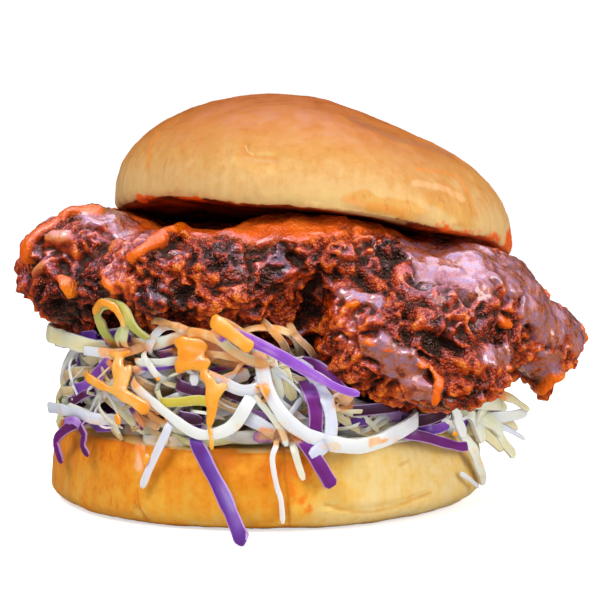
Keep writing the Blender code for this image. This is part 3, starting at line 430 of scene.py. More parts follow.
class Nodes:
    """Adds nodes to a tree and joins them up."""

    def __init__(self, tree):
        self.tree = tree

    def feed(self, node, inputs):
        """Sets a node's inputs, by name or in order, or links them to other nodes' outputs."""
        for key, value in inputs.items() if isinstance(inputs, dict) else enumerate(inputs):
            if isinstance(value, Value):
                self.tree.links.new(value.socket, node.inputs[key])
            else:
                node.inputs[key].default_value = value

    def add(self, kind, inputs=(), **settings):
        node = self.tree.nodes.new(kind)
        for name, value in settings.items():
            setattr(node, name, value)
        self.feed(node, inputs)
        return node

    def value(self, kind, inputs=(), output=0, **settings):
        return Value(self, self.add(kind, inputs, **settings).outputs[output])

    def given(self):
        """The tree's own inputs by name."""
        return {socket.name: Value(self, socket) for socket in self.add("NodeGroupInput").outputs}

    def put_out(self, value):
        self.add("NodeGroupOutput", (value,))
        return self.tree

    def math(self, operation, *values, clamp=False):
        """A math node, or a vector math node where one of the values is a vector."""
        vectors = [isinstance(value, tuple) or getattr(value, "is_vector", False) for value in values]
        if not any(vectors):
            return self.value("ShaderNodeMath", values, operation=operation, use_clamp=clamp)
        if operation == "MULTIPLY" and not all(vectors):
            return self.value("ShaderNodeVectorMath", {0: values[0], "Scale": values[1]}, operation="SCALE")
        output = int(operation in ("DOT_PRODUCT", "LENGTH"))
        return self.value("ShaderNodeVectorMath", values, output, operation=operation)

    def mix(self, factor, first, second, blend="MIX"):
        """Two colours mixed; one of three numbers is as a screen shows it."""
        first, second = (
            colour(*shade) if isinstance(shade, tuple) and len(shade) == 3 else shade for shade in (first, second))
        return self.value("ShaderNodeMix", {0: factor, 6: first, 7: second}, 2, data_type="RGBA", blend_type=blend)

    def named(self, name, kind="FLOAT"):
        """A value that the geometry tree finds on the piece under that name."""
        return self.value("GeometryNodeInputNamedAttribute", (name,), "Attribute", data_type=kind)

    def stored(self, name):
        """A value that the material finds on the piece under that name."""
        return self.value("ShaderNodeAttribute", output="Fac", attribute_name=name)

    def store(self, geometry, name, value):
        inputs = {"Geometry": geometry, "Name": name, "Value": value}
        return self.value("GeometryNodeStoreNamedAttribute", inputs, data_type="FLOAT")

    def moved(self, geometry, **inputs):
        return self.value("GeometryNodeSetPosition", {"Geometry": geometry, **inputs})

    def blurred(self, place, rounds):
        inputs = {"Value": place, "Iterations": rounds}
        return self.value("GeometryNodeBlurAttribute", inputs, data_type="FLOAT_VECTOR")

    def bump(self, strength, distance, height):
        return self.value("ShaderNodeBump", {"Strength": strength, "Distance": distance, "Height": height})

    def mottle(self, scale, low=0.4, high=0.6, stretch=(1.0, 1.0, 1.0)):
        inputs = {"Scale": scale, "Stretch": stretch, "Low": low, "High": high}
        return self.value("ShaderNodeGroup", inputs, node_tree=GROUPS["mottle"])

    def ragged(self, name, scale, raggedness):
        """A stored mask with a ragged edge."""
        inputs = {"Mask": self.stored(name), "Scale": scale, "Raggedness": raggedness}
        return self.value("ShaderNodeGroup", inputs, node_tree=GROUPS["ragged edge"])

    def strokes(self, lines):
        """Where thin lines run; a line is (half width, points of (x, z)) in mm."""
        mask = None
        for half, corners in lines:
            for start, end in zip(corners, corners[1:]):
                inputs = {name: (x * MM, 0.0, z * MM) for name, (x, z) in (("Start", start), ("End", end))}
                inputs["Half Width"] = half * MM
                stroke = self.value("ShaderNodeGroup", inputs, node_tree=GROUPS["stroke"])
                mask = stroke if mask is None else mask | stroke
        return mask


def geometry_tree(name, material, sizes):
    """A geometry tree with named inputs, its sizes and its material, and each point's place and normal in it."""
    tree = bpy.data.node_groups.new(name, "GeometryNodeTree")
    for way in ("INPUT", "OUTPUT"):
        tree.interface.new_socket("Geometry", in_out=way, socket_type="NodeSocketGeometry")
    for label, default in sizes.items():
        kind = "NodeSocketInt" if isinstance(default, int) else "NodeSocketFloat"
        tree.interface.new_socket(label, in_out="INPUT", socket_type=kind).default_value = default
    tree.interface.new_socket("Material", in_out="INPUT", socket_type="NodeSocketMaterial").default_value = material
    nodes = Nodes(tree)
    place, facing = nodes.value("GeometryNodeInputPosition"), nodes.value("GeometryNodeInputNormal")
    return nodes, nodes.given(), place, facing


def finish_tree(nodes, geometry, material):
    real = nodes.value("GeometryNodeRealizeInstances", (geometry,))
    return nodes.put_out(nodes.value("GeometryNodeSetMaterial", {"Geometry": real, "Material": material}))


def run_tree(thing, tree, **values):
    """Runs a geometry tree on an object and keeps what it makes as a plain mesh."""
    step = thing.modifiers.new(tree.name, "NODES")
    step.node_group = tree
    by_name = {item.name: item.identifier for item in tree.interface.items_tree if item.in_out == "INPUT"}
    for name, value in values.items():
        step[by_name[name.replace("_", " ")]] = value
    return bake(thing)


def shader_group(name, inputs):
    """A shader group with named inputs that puts out a mask."""
    tree = bpy.data.node_groups.new(name, "ShaderNodeTree")
    for label, default in inputs.items():
        kind = "NodeSocketVector" if isinstance(default, tuple) else "NodeSocketFloat"
        tree.interface.new_socket(label, in_out="INPUT", socket_type=kind).default_value = default
    tree.interface.new_socket("Mask", in_out="OUTPUT", socket_type="NodeSocketFloat")
    nodes = Nodes(tree)
    return nodes, nodes.given(), nodes.value("ShaderNodeTexCoord", output="Object")


def new_material(name, **settings):
    """A material, its node helper, its Principled shader with constants set on it, and a point's place in it."""
    material = bpy.data.materials.new(name)
    material.use_nodes = True
    shader = material.node_tree.nodes["Principled BSDF"]
    for label, value in settings.items():
        shader.inputs[label.replace("_", " ")].default_value = value
    nodes = Nodes(material.node_tree)
    return material, nodes, shader, nodes.value("ShaderNodeTexCoord", output="Object")


def make_mottle():
    """Soft blotches: a mask that wanders between 0 and 1."""
    nodes, given, place = shader_group(
        "mottle", {"Scale": 100.0, "Stretch": (1.0, 1.0, 1.0), "Low": 0.4, "High": 0.6})
    value = (place * given["Stretch"]).noise(given["Scale"], 4.0, 0.55)
    return nodes.put_out(value.spread(given["Low"], given["High"]))


def make_ragged_edge():
    """A stored mask with its edge broken up by noise."""
    nodes, given, place = shader_group("ragged edge", {"Mask": 0.0, "Scale": 400.0, "Raggedness": 0.5})
    value = place.wobble(given["Scale"], 3.0) * given["Raggedness"] + given["Mask"]
    return nodes.put_out(value.spread(0.2, 0.8))


def make_stroke():
    """A thin line as the front shows it, from Start to End (x and z count), uneven and soft at its rims."""
    nodes, given, place = shader_group("stroke", {"Start": (0.0, 0.0, 0.0), "End": (0.0, 0.0, 0.0), "Half Width": MM})
    flat = place.shaken(240.0, 3.0, 1.2 * MM) * (1.0, 0.0, 1.0)
    along, off = given["End"] - given["Start"], flat - given["Start"]
    dots = [nodes.math("DOT_PRODUCT", vector, along) for vector in (off, along)]
    share = nodes.math("DIVIDE", *dots, clamp=True)
    gap = nodes.math("LENGTH", off - along * share)
    mask = gap.spread(given["Half Width"] * 0.3, given["Half Width"], 1.0, 0.0)
    return nodes.put_out(mask * place.parts()[1].spread(-9 * MM, -4 * MM, 1.0, 0.0))


# ---- meshes


def new_object(name, mesh):
    thing = bpy.data.objects.new(name, mesh)
    bpy.context.scene.collection.objects.link(thing)
    return thing


def modify(thing, label, kind, **settings):
    step = thing.modifiers.new(label, kind)
    for name, value in settings.items():
        setattr(step, name, value)


def bake(thing):
    """Replaces the object's mesh by the one its modifiers give, and removes them."""
    bpy.context.view_layer.update()
    seen = thing.evaluated_get(bpy.context.evaluated_depsgraph_get())
    mesh = bpy.data.meshes.new_from_object(seen)
    thing.modifiers.clear()
    old = thing.data
    thing.data = mesh
    if not old.users:
        bpy.data.meshes.remove(old)
    return thing


def melt(thing, cell, factor, rounds):
    """Makes an object's form over in small even faces and smooths its facets away."""
    modify(thing, "small faces", "REMESH", mode="VOXEL", voxel_size=cell)
    modify(thing, "no facets", "SMOOTH", factor=factor, iterations=rounds)
    return bake(thing)


def object_of(name, mesh):
    """An object of a bmesh, which is freed."""
    bmesh.ops.recalc_face_normals(mesh, faces=mesh.faces)
    data = bpy.data.meshes.new(name)
    mesh.to_mesh(data)
    mesh.free()
    return new_object(name, data)


def fine_copy(node, name, cell, rounds):
    """A solid's form in small even faces, from a copy with its loose triangles joined up."""
    mesh = bmesh.new()
    mesh.from_mesh(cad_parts[node].data)
    bmesh.ops.remove_doubles(mesh, verts=mesh.verts, dist=WELD)
    return melt(object_of(name, mesh), cell, 0.5, rounds)


def read(thing, what="co"):
    """The places (co) or normals of an object's vertices, a row for each."""
    values = np.empty(len(thing.data.vertices) * 3, np.float32)
    thing.data.vertices.foreach_get(what, values)
    return values.reshape(-1, 3).astype(float)


def put_points(thing, points):
    thing.data.vertices.foreach_set("co", points.astype(np.float32).ravel())


def raise_to(thing, least):
    """Lifts whatever is lower up to a height."""
    points = read(thing)
    points[:, 2] = np.maximum(points[:, 2], least)
    put_points(thing, points)
    thing.data.update()


def set_values(thing, **values):
    """Stores values for every vertex, each under its name."""
    for name, numbers in values.items():
        attribute = thing.data.attributes.get(name) or thing.data.attributes.new(name, "FLOAT", "POINT")
        attribute.data.foreach_set("value", np.asarray(numbers, np.float32))


def eased(values):
    values = np.clip(values, 0.0, 1.0)
    return values * values * (3 - 2 * values)


def warped(points, size, amount):
    """The points pushed about by smooth noise, so that what is measured from them gets an uneven edge."""
    noise.seed_set(NOISE_SEED)
    moves = [noise.noise_vector(Vector(point)) for point in points / size]
    return points + np.array(moves) * amount


def patch_mask(points, places):
    """1 in each place and 0 outside it; a place is (middle, half length, half height, depth, slope)."""
    mask = np.zeros(len(points))
    for middle, length, height, depth, slope in places.values():
        away = points - np.array(middle) * MM
        angle = math.radians(slope)
        along = away[:, 0] * math.cos(angle) + away[:, 2] * math.sin(angle)
        across = away[:, 2] * math.cos(angle) - away[:, 0] * math.sin(angle)
        reach = np.sqrt((along / length) ** 2 + (across / height) ** 2 + (away[:, 1] / depth) ** 2) / MM
        mask = np.maximum(mask, PATCH_END - reach)
    return eased(mask)


def line_mask(points, lines):
    """1 on each line and 0 beside it; a line is (half width, points)."""
    mask = np.zeros(len(points))
    for half, corners in lines.values():
        corners = np.array(corners) * MM
        for start, end in zip(corners, corners[1:]):
            run = end - start
            share = np.clip((points - start) @ run / (run @ run), 0, 1)
            away = np.linalg.norm(points - start - share[:, None] * run, axis=1)
            mask = np.maximum(mask, LINE_END - away / (half * MM))
    return eased(mask)


def finished(thing, slot, *replaced, crisp=None):
    """Shades a finished piece smooth, but for edges that turn more than crisp, and ties it to the frame."""
    thing.data.shade_smooth()
    if crisp:
        thing.data.set_sharp_from_angle(angle=math.radians(crisp))
    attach(thing, "root")
    if replaced:
        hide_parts(*replaced)


# ---- fillet


def crust_tree(material):
    """Lumps, folds, nuggets, pebbles and pits of a fried crust, evened out where sauce or glaze lies on it."""
    nodes, given, place, facing = geometry_tree("fried crust", material, {
        "Lump Size": 11.0 * MM, "Lump Height": 2.2 * MM, "Crag Size": 5.4 * MM, "Crag Height": 1.3 * MM,
        "Nugget Size": 2.9 * MM, "Nugget Height": 0.55 * MM, "Pebble Size": 1.4 * MM, "Pebble Height": 0.25 * MM,
        "Wrinkle Size": 5.5 * MM, "Wrinkle Height": 1.2 * MM, "Pit Size": 13.0 * MM, "Pit Depth": 1.6 * MM,
        "Droop": 0.3, "Cream Height": 0.9 * MM, "Softening": 1, "Cleft Depth": 1.6 * MM, "Ridge Height": 1.2 * MM})
    laid = nodes.named("glaze") | nodes.named("sauce") | nodes.named("pool") | nodes.named("cream")
    laid = (place.wobble(320.0, 3.0) * 0.9 + laid).spread(0.3, 0.7)
    smooth = laid | place.noise(85.0).spread(0.44, 0.58, 0.0, 0.8)
    bent, bent_fine = place.shaken(130.0, 2.0, 9.0 * MM), place.shaken(420.0, 2.0, 2.6 * MM)

    total = 0.0
    for label in ("Lump", "Crag"):
        away = bent.cells(1.0 / given[label + " Size"], "DISTANCE_TO_EDGE")
        height = 0.32 - nodes.math("EXPONENT", away / -0.15)
        total = total + height * given[label + " Height"] * (laid * -0.9 + 1.0)
    for label, softness in (("Nugget", 0.3), ("Pebble", 0.2)):
        away = bent_fine.cells(1.0 / given[label + " Size"], "SMOOTH_F1", Smoothness=softness)
        height = 0.42 - away ** 1.6 * 1.9
        total = total + height * given[label + " Height"] * (smooth * -0.9 + 1.0)
    wander = (bent * (1.0, 1.0, 1.8)).wobble(1.0 / given["Wrinkle Size"], 1.0, 0.5, 0.6)
    wrinkle = 0.4 - nodes.math("MINIMUM", abs(wander) * 7.0, 1.0)
    total = total + wrinkle * given["Wrinkle Height"] * (laid * -0.8 + 1.0)
    pit = bent.cells(1.0 / given["Pit Size"]).spread(0.06, 0.22, 1.0, 0.0)
    total = total - pit * (1.0 - laid) * given["Pit Depth"]
    gentle = (bent * (1.0, 1.0, 0.4)).wobble(420.0, 3.0, 0.6) * (1.1 * MM) + place.wobble(190.0, 1.5) * (2.0 * MM)
    total = total + gentle * laid
    total = total + nodes.named("cream") * given["Cream Height"] + nodes.named("sauce") * given["Ridge Height"]
    total = total - nodes.named("cleft") * given["Cleft Depth"]

    sag = (total | 0.0) * given["Droop"] * -1.0
    shape = nodes.moved(
        given["Geometry"], Offset=facing * total + nodes.value("ShaderNodeCombineXYZ", (0.0, 0.0, sag)))
    shape = nodes.moved(shape, Position=nodes.blurred(place, given["Softening"]))
    shape = nodes.store(nodes.store(shape, "smooth", laid), "wet", smooth)
    for name, rounds, reach in (("hollow", 7, 0.35 * MM), ("deep", 60, 1.4 * MM)):
        sunk = nodes.math("DOT_PRODUCT", nodes.blurred(place, rounds) - place, facing)
        shape = nodes.store(shape, name, sunk / reach)
    return finish_tree(nodes, shape, given["Material"])


def crust_material():
    material, nodes, shader, place = new_material(
        "glazed fried crust", IOR=1.5, Specular_IOR_Level=0.75, Specular_Tint=(1.0, 0.6, 0.36, 1.0),
        Coat_Roughness=0.14, Coat_IOR=1.8)
    hollow, deep, laid, wet = (nodes.stored(name) for name in ("hollow", "deep", "smooth", "wet"))
    bead, blotch = place.cells(1500.0), place.wobble(120.0, 3.0)
    # Colour level: darker in hollows, deep recesses and between beads, which is painted shade; lighter on raised
    # crust, which is painted light. The browned and shaded places darken it too.
    height = hollow * -0.19 + 0.48 - deep * 0.1 - bead * nodes.mottle(240.0, 0.45, 0.62) * 0.3
    height = height - nodes.stored("browned") * 0.22 + place.wobble(800.0, 4.0, 0.65) * 0.75 + blotch
    shade = height.ramp(
        (0.14, 24, 6, 2), (0.28, 80, 20, 4), (0.44, 142, 38, 5), (0.6, 196, 70, 8), (0.8, 234, 122, 26))
    # The glaze's violet top stop is a painted reflection of the sky's sheen; its browns are the sauce film's own
    # colour.
    for name, scale, raggedness, level, *stops in (
            ("glaze", 420.0, 1.0, place.wobble(420.0, 4.0, 0.7) * 2.8 + 0.57,
             (0.1, 110, 34, 12), (0.34, 164, 80, 40), (0.55, 182, 106, 78), (0.75, 158, 112, 132)),
            ("pool", 200.0, 0.9, blotch + 0.5, (0.2, 196, 66, 14), (0.55, 236, 102, 26), (0.85, 244, 126, 40)),
            ("sauce", 300.0, 0.5, blotch * 0.8 + 0.5, (0.2, 212, 74, 0), (0.5, 240, 106, 0), (0.8, 252, 146, 16)),
            ("cream", 360.0, 0.6, nodes.stored("cream"),
             (0.3, 180, 56, 12), (0.65, 212, 92, 34), (0.98, 230, 142, 80))):
        shade = nodes.mix(nodes.ragged(name, scale, raggedness), shade, level.ramp(*stops))
    sheen = (laid * 0.9 | wet * 0.48) - (deep + hollow | -0.2) * 0.45
    thick = (nodes.stored("sauce") | nodes.stored("pool")) * 0.84
    grit = place.noise(900.0, 3.0, 0.6) * 1.6 - bead * bead * 1.5
    grit = grit * wet.spread(0.0, 1.0, 1.0, 0.16) + place.noise(300.0) * 0.8
    grit = grit + (place * (1.0, 1.0, 0.35)).noise(900.0, 3.0, 0.6) * laid * 1.6
    nodes.feed(shader, {
        "Base Color": shade, "Coat Weight": nodes.math("SUBTRACT", sheen, thick, clamp=True),
        "Roughness": (deep * 0.5 + hollow).spread(-0.4, 1.4, 0.14, 0.7), "Normal": nodes.bump(0.9, 0.45 * MM, grit)})
    return material


def make_fillet():
    fillet = fine_copy("chicken", "fried_fillet", FILLET_CELL, FILLET_ROUNDS)
    places, facing = read(fillet), read(fillet, "normal")
    points = warped(places, 5 * MM, 2.6 * MM)
    reach = np.linalg.norm((points - np.array(POOL_PLACE)) / np.array(POOL_REACH), axis=1)
    set_values(
        fillet, glaze=patch_mask(points, GLAZED_PLANES), cream=patch_mask(points, CREAM_SPOTS),
        sauce=line_mask(warped(places, 4 * MM, MM), SAUCE_RIDGES), cleft=line_mask(points, CLEFTS),
        browned=patch_mask(points, BROWNED_AND_SHADED), pool=eased((1.15 - reach) * 4) * eased((facing[:, 2] - 0.25) * 4))
    run_tree(fillet, crust_tree(crust_material()))
    fillet.data.calc_loop_triangles()
    modify(fillet, "fewer faces", "DECIMATE", ratio=min(1.0, FILLET_FACES / len(fillet.data.loop_triangles)))
    finished(bake(fillet), "fried_chicken", "chicken")


# ---- bun


def bread_tree(material):
    """Bread skin: broad dents, small wrinkles, upright pleats on the side, pressed lines and a torn edge."""
    nodes, given, place, facing = geometry_tree("bread skin", material, {
        "Dent Height": 0.7 * MM, "Wrinkle Height": 0.22 * MM, "Pleat Height": 0.3 * MM, "Line Depth": 0.8 * MM,
        "Tear Height": 0.9 * MM})
    total = nodes.named("line") * (given["Line Depth"] * -1.0)
    for label, points, scale, detail, roughness, where in (
            ("Dent Height", place, 55.0, 2.0, 0.5, None), ("Wrinkle Height", place, 420.0, 4.0, 0.6, None),
            ("Pleat Height", place * (1.0, 1.0, 0.12), 620.0, 3.0, 0.6, "side"),
            ("Tear Height", place, 520.0, 4.0, 0.7, "edge")):
        height = points.wobble(scale, detail, roughness) * (given[label] * 2.0)
        total = total + (height * nodes.named(where) if where else height)
    return finish_tree(nodes, nodes.moved(given["Geometry"], Offset=facing * total), given["Material"])


def bread_material(name, stops, cut, stain_colour, amber, uneven, specked, lines):
    """Baked skin: stops colour it from its lower edge (0) to its top (1); lines are (strength, colour, strokes)."""
    material, nodes, shader, place = new_material(
        name, Specular_IOR_Level=0.4, Specular_Tint=(1.0, 0.82, 0.25, 1.0), Subsurface_Weight=0.2,
        Subsurface_Radius=(3.0 * MM, 1.6 * MM, 0.6 * MM), Subsurface_Scale=1.0)
    side, upright = nodes.stored("side"), place * (1.0, 1.0, 0.07)
    level = place.wobble(60.0, 4.0, 0.6) * uneven + nodes.stored("rise")
    level = upright.wobble(520.0, 4.0, 0.6) * side * 0.36 + level
    shade = (place.wobble(210.0, 4.0, 0.65) * uneven + level).ramp(*stops)
    shade = nodes.mix(nodes.ragged("cut", 300.0, 0.3), shade, place.noise(160.0, 3.0).ramp(*cut))
    deep = nodes.mix(1.0, shade, amber, "MULTIPLY")
    shade = nodes.mix(nodes.ragged("amber", 160.0, 0.8) * 0.6, shade, deep)
    shade = nodes.mix(nodes.mottle(420.0, 0.52, 0.75) * 0.22, shade, deep)
    shade = nodes.mix(nodes.ragged("stain", 700.0, 1.4) * nodes.mottle(260.0, 0.36, 0.5), shade, stain_colour)
    # Some of these lines are painted shade in creases, and some are painted highlights.
    for strength, tint, places in lines:
        shade = nodes.mix(nodes.strokes(places) * strength, shade, tint)
    specks = nodes.mottle(850.0, 0.56, 0.66, (1.0, 1.0, 0.45)) * nodes.stored("amber") * specked
    shade = nodes.mix(specks, shade, nodes.mix(1.0, shade, (222, 150, 70), "MULTIPLY"))
    pores = place.noise(1500.0, 3.0, 0.6) + upright.noise(1400.0) * side
    nodes.feed(shader, {
        "Base Color": shade, "Normal": nodes.bump(0.35, 0.12 * MM, pores),
        "Roughness": nodes.mottle(200.0, 0.3, 0.7).spread(0.0, 1.0, 0.36, 0.55)})
    return material


def make_crown():
    crown = fine_copy("crown", "bun_crown", BUN_CELL, CROWN_ROUNDS)
    points, facing = read(crown), read(crown, "normal")
    uneven = warped(points, 4 * MM, 2.4 * MM)
    points[:, 2] -= DROOP * (
        eased((points[:, 0] - DROOP_X) / (7 * MM)) * eased((DROOP_Z - points[:, 2]) / (6 * MM)))
    put_points(crown, points)
    turn = np.array(CROWN_TURN.to_matrix())
    height, upward = ((points - np.array(CROWN_PLACE)) @ turn)[:, 2], (facing @ turn)[:, 2]
    rise = np.clip(height / CROWN_HEIGHT, 0, 1)
    under = eased((-upward - 0.75) * 6) * (height < 0.25 * CROWN_HEIGHT)
    set_values(
        crown, rise=rise, side=eased((0.62 - rise) * 3),
        edge=eased(1.3 - np.abs(height - 1.2 * MM) / (1.8 * MM)) * (1 - under), cut=under,
        line=line_mask(points, CROWN_CREASE), stain=patch_mask(uneven, CROWN_STAINS),
        amber=patch_mask(uneven, CROWN_AMBER))
    # The cut face's dark red-brown is sauce soaked into it, and painted shade under the crown.
    material = bread_material(
        "glossy bun skin",
        ((0.02, 214, 180, 118), (0.16, 212, 172, 114), (0.36, 202, 146, 76), (0.62, 188, 112, 34),
         (0.92, 168, 86, 10)),
        ((0.36, 44, 8, 4), (0.5, 104, 24, 6), (0.66, 150, 56, 10)), (228, 92, 20), (250, 210, 120), 0.3, 0.3,
        CROWN_LINES)
    run_tree(crown, bread_tree(material), Line_Depth=0.5 * MM)
    finished(crown, "bun_crown", "crown")


def make_heel():
    heel = fine_copy("heel", "bun_heel", BUN_CELL, HEEL_ROUNDS)
    points, facing = read(heel), read(heel, "normal")
    height = np.clip(points[:, 2] / HEEL_HEIGHT, 0, 1)
    uneven = warped(points, 9 * MM, 7 * MM)
    warm = eased(0.5 - (uneven[:, 0] - WARM_MIDDLE) / WARM_WAY + 0.25 * np.sin(points[:, 1] * 60))
    low = eased((2.4 * MM - points[:, 2]) / (2.0 * MM))
    left = eased((-22 * MM - uneven[:, 0]) / (14 * MM))
    set_values(
        heel, rise=np.clip(0.08 + 0.16 * height + warm * (0.42 + 0.3 * height), 0, 1),
        side=eased((0.8 - np.abs(facing[:, 2])) * 4), edge=np.zeros(len(points)),
        cut=eased((facing[:, 2] - 0.75) * 8) * (height > 0.7), line=line_mask(points, HEEL_SEAMS),
        stain=patch_mask(warped(points, 4 * MM, 3 * MM), HEEL_STAINS), amber=np.maximum(low * 0.8, left * 0.55))
    material = bread_material(
        "toasted bun skin",
        ((0.05, 228, 204, 144), (0.3, 226, 190, 108), (0.55, 232, 172, 62), (0.78, 230, 148, 34),
         (1.0, 214, 116, 14)),
        ((0.3, 226, 150, 60), (0.5, 232, 186, 110), (0.7, 240, 206, 140)), (232, 128, 30), (240, 196, 84), 0.75, 0.85,
        HEEL_LINES)
    run_tree(heel, bread_tree(material), Pleat_Height=0.28 * MM, Dent_Height=0.6 * MM)
    raise_to(heel, 0.0)
    finished(heel, "bun_heel", "heel")


# ---- slaw


def smooth_route(points, step=MM):
    """Points a step apart on a Catmull-Rom curve through the given ones."""
    ends = [2 * points[0] - points[1], *points, 2 * points[-1] - points[-2]]
    route = []
    for before, start, end, after in zip(ends, ends[1:], ends[2:], ends[3:]):
        steps = max(1, round((end - start).length / step))
        for t in (i / steps for i in range(steps)):
            route.append(0.5 * (
                2 * start
                + (end - before) * t
                + (2 * before - 5 * start + 4 * end - after) * t * t
                + (3 * start - before - 3 * end + after) * t**3
            ))
    route.append(points[-1])
    return route


def outward(point):
    return Vector((point.x, point.y, 0.0)).normalized()


def laid_out(route, width, carriers, clear):
    """Moves a fine route away from the axis until a shred along it clears what carries it."""
    pushes = []
    for point in route:
        away, radius = outward(point), math.hypot(point.x, point.y)
        needed = radius
        for height in (point.z - 0.4 * width, point.z, point.z + 0.4 * width):
            start = Vector((0, 0, height)) + away * FAR
            hits = [carrier.ray_cast(start, -away)[0] for carrier in carriers]
            needed = max([needed] + [math.hypot(hit.x, hit.y) + clear for hit in hits if hit])
        pushes.append(min(needed - radius, MOST_PUSH) if radius > HIDDEN_RADIUS else 0.0)
    reach = [max(pushes[max(0, i - 2):i + 3]) for i in range(len(pushes))]
    even = [sum(near) / len(near) for near in (reach[max(0, i - 3):i + 4] for i in range(len(reach)))]
    return [point + outward(point) * push for point, push in zip(route, even)]


def level_of(tree, place, reach, above=False):
    """Height of a solid's face under a place, or above it, at the tightest of five spots within reach."""
    start, way, tightest, default = (
        (HEEL_HEIGHT, 1, min, SLAW_TOP) if above else (2 * HEEL_HEIGHT, -1, max, HEEL_HEIGHT))
    found = []
    for i in range(5):
        angle, radius = math.radians(90 * i), reach * (i > 0)
        spot = (place.x + radius * math.cos(angle), place.y + radius * math.sin(angle), start)
        hit = tree.ray_cast(spot, (0, 0, way))[0]
        if hit:
            found.append(hit.z)
    return tightest(found, default=default)


def named_routes(shreds, carriers, clear):
    """The named shreds' fine routes, each with its two widths and its tone."""
    routes = []
    for start_width, end_width, *tone, points in shreds.values():
        points = [at_bearing(bearing, radius * MM, height * MM) for bearing, height, radius in points]
        route = laid_out(smooth_route(points), max(start_width, end_width) * MM, carriers, clear)
        routes.append((route, start_width * MM, end_width * MM, tone[0] if tone else 0.5))
    return routes


def fill_route(draw, carriers):
    """A shred drawn at random, tucked into the heap at one end and lying on its side or poking out at the other."""
    heel, fillet = carriers
    bearing = draw.uniform(0, 360)
    tucked = at_bearing(bearing, FILL_TUCK, HEEL_HEIGHT)
    low, roof = level_of(heel, tucked, 2 * MM), level_of(fillet, tucked, 2 * MM, above=True)
    height = low + (roof - low) * draw.uniform(0.05, 1.0)
    length = draw.uniform(*FILL_LENGTH)
    heading = math.radians(draw.gauss(0, FILL_SLOPE))
    side = draw.choice((-1, 1))
    laid = draw.uniform(*FILL_LAID)
    poke = draw.uniform(*FILL_POKE) * MM
    bend = draw.uniform(*FILL_BEND) * MM
    points = []
    for share, radius in ((0.0, FILL_TUCK), (0.25, laid), (0.65, laid + 0.5 * poke), (1.0, laid + poke)):
        turn = math.degrees(side * share * length * math.cos(heading) / laid)
        lift = share * length * math.sin(heading) + bend * math.sin(math.pi * share)
        place = at_bearing(bearing + turn, radius, height + lift)
        turned = (bearing + turn + 180) % 360 - 180
        rest = FRONT_FLOOR if abs(turned) < CLEAR_FRONT else BACK_FLOOR
        floor = level_of(heel, place, 0.0) + 0.8 * MM if radius < HEEL_FACE_RADIUS else rest
        place.z = max(floor, min(place.z, level_of(fillet, place, 1.5 * MM, above=True) - FILL_UNDER))
        points.append(place)
    return smooth_route(points)


def fill_routes(count, carriers, seed):
    draw = random.Random(seed)
    routes = []
    while len(routes) < count:
        width = draw.uniform(*FILL_WIDTH)
        route = laid_out(fill_route(draw, carriers), width, carriers, FILL_CLEAR)
        if max(math.hypot(point.x, point.y) for point in route) < FILL_REACH:
            routes.append((route, width, width * draw.uniform(0.5, 1.0), draw.uniform(0.22, 1.0)))
    return routes


def thread_routes(carriers):
    """Thin threads and scraps that lie over the front of the heap with one end tucked in."""
    draw = random.Random(THREAD_SEED)
    routes = []
    for _ in range(THREAD_COUNT):
        bearing, laid = draw.uniform(*THREAD_SPAN), draw.uniform(*THREAD_LAID)
        over = level_of(carriers[1], at_bearing(bearing, laid, 0.0), 5 * MM, above=True)
        roof = max(THREAD_FLOOR, min(over, SLAW_TOP) - THREAD_UNDER)
        height = draw.uniform(THREAD_FLOOR, roof)
        length = draw.uniform(*THREAD_LENGTH)
        heading = math.radians(draw.uniform(-THREAD_SLOPE, THREAD_SLOPE))
        curl, sunk_end = draw.uniform(-THREAD_CURL, THREAD_CURL) * MM, draw.uniform(*THREAD_SUNK) * MM
        points = []
        for share, sunk in ((-0.5, 7 * MM), (-0.22, 0.6 * MM), (0.14, 0.0), (0.5, sunk_end)):
            turn = math.degrees(share * length * math.cos(heading) / laid)
            rise = share * length * math.sin(heading) + curl * math.cos(math.pi * share)
            points.append(at_bearing(bearing + turn, laid - sunk, min(max(height + rise, THREAD_FLOOR), roof)))
        width = draw.uniform(*THREAD_WIDTH)
        route = laid_out(smooth_route(points), width, carriers, THREAD_CLEAR)
        routes.append((route, width, width * draw.uniform(0.5, 1.0), draw.uniform(0.0, 0.95)))
    return routes


def route_object(name, routes, lean=0.0, named=0, seed=1):
    """All routes of one kind, the named ones first, as chains of points that carry width, facing and shade."""
    draw = random.Random(seed)
    places, edges, broad, half, shade = [], [], [], [], []
    for k, (route, start_width, end_width, tone) in enumerate(routes):
        most = lean * (0.3 if k < named else 1.0)
        tilt, twist = draw.uniform(-most, most), draw.uniform(-most, most)
        for i, point in enumerate(route):
            before, after = route[max(0, i - 1)], route[min(len(route) - 1, i + 1)]
            along = (after - before).normalized()
            share = i / (len(route) - 1)
            face = Matrix.Rotation(math.radians(tilt + twist * share), 3, along) @ outward(point)
            blunt = 0.55 if i in (0, len(route) - 1) else 1.0
            if i:
                edges.append((len(places) - 1, len(places)))
            places.append(point)
            broad.append((face - along * face.dot(along)).normalized())
            half.append(0.5 * blunt * (start_width + (end_width - start_width) * share))
            shade.append(tone)
    mesh = bpy.data.meshes.new(name)
    mesh.from_pydata(places, edges, [])
    facing = mesh.attributes.new("broad", "FLOAT_VECTOR", "POINT")
    facing.data.foreach_set("vector", np.array(broad, np.float32).ravel())
    thing = new_object(name, mesh)
    set_values(thing, half=half, shade=shade)
    return thing


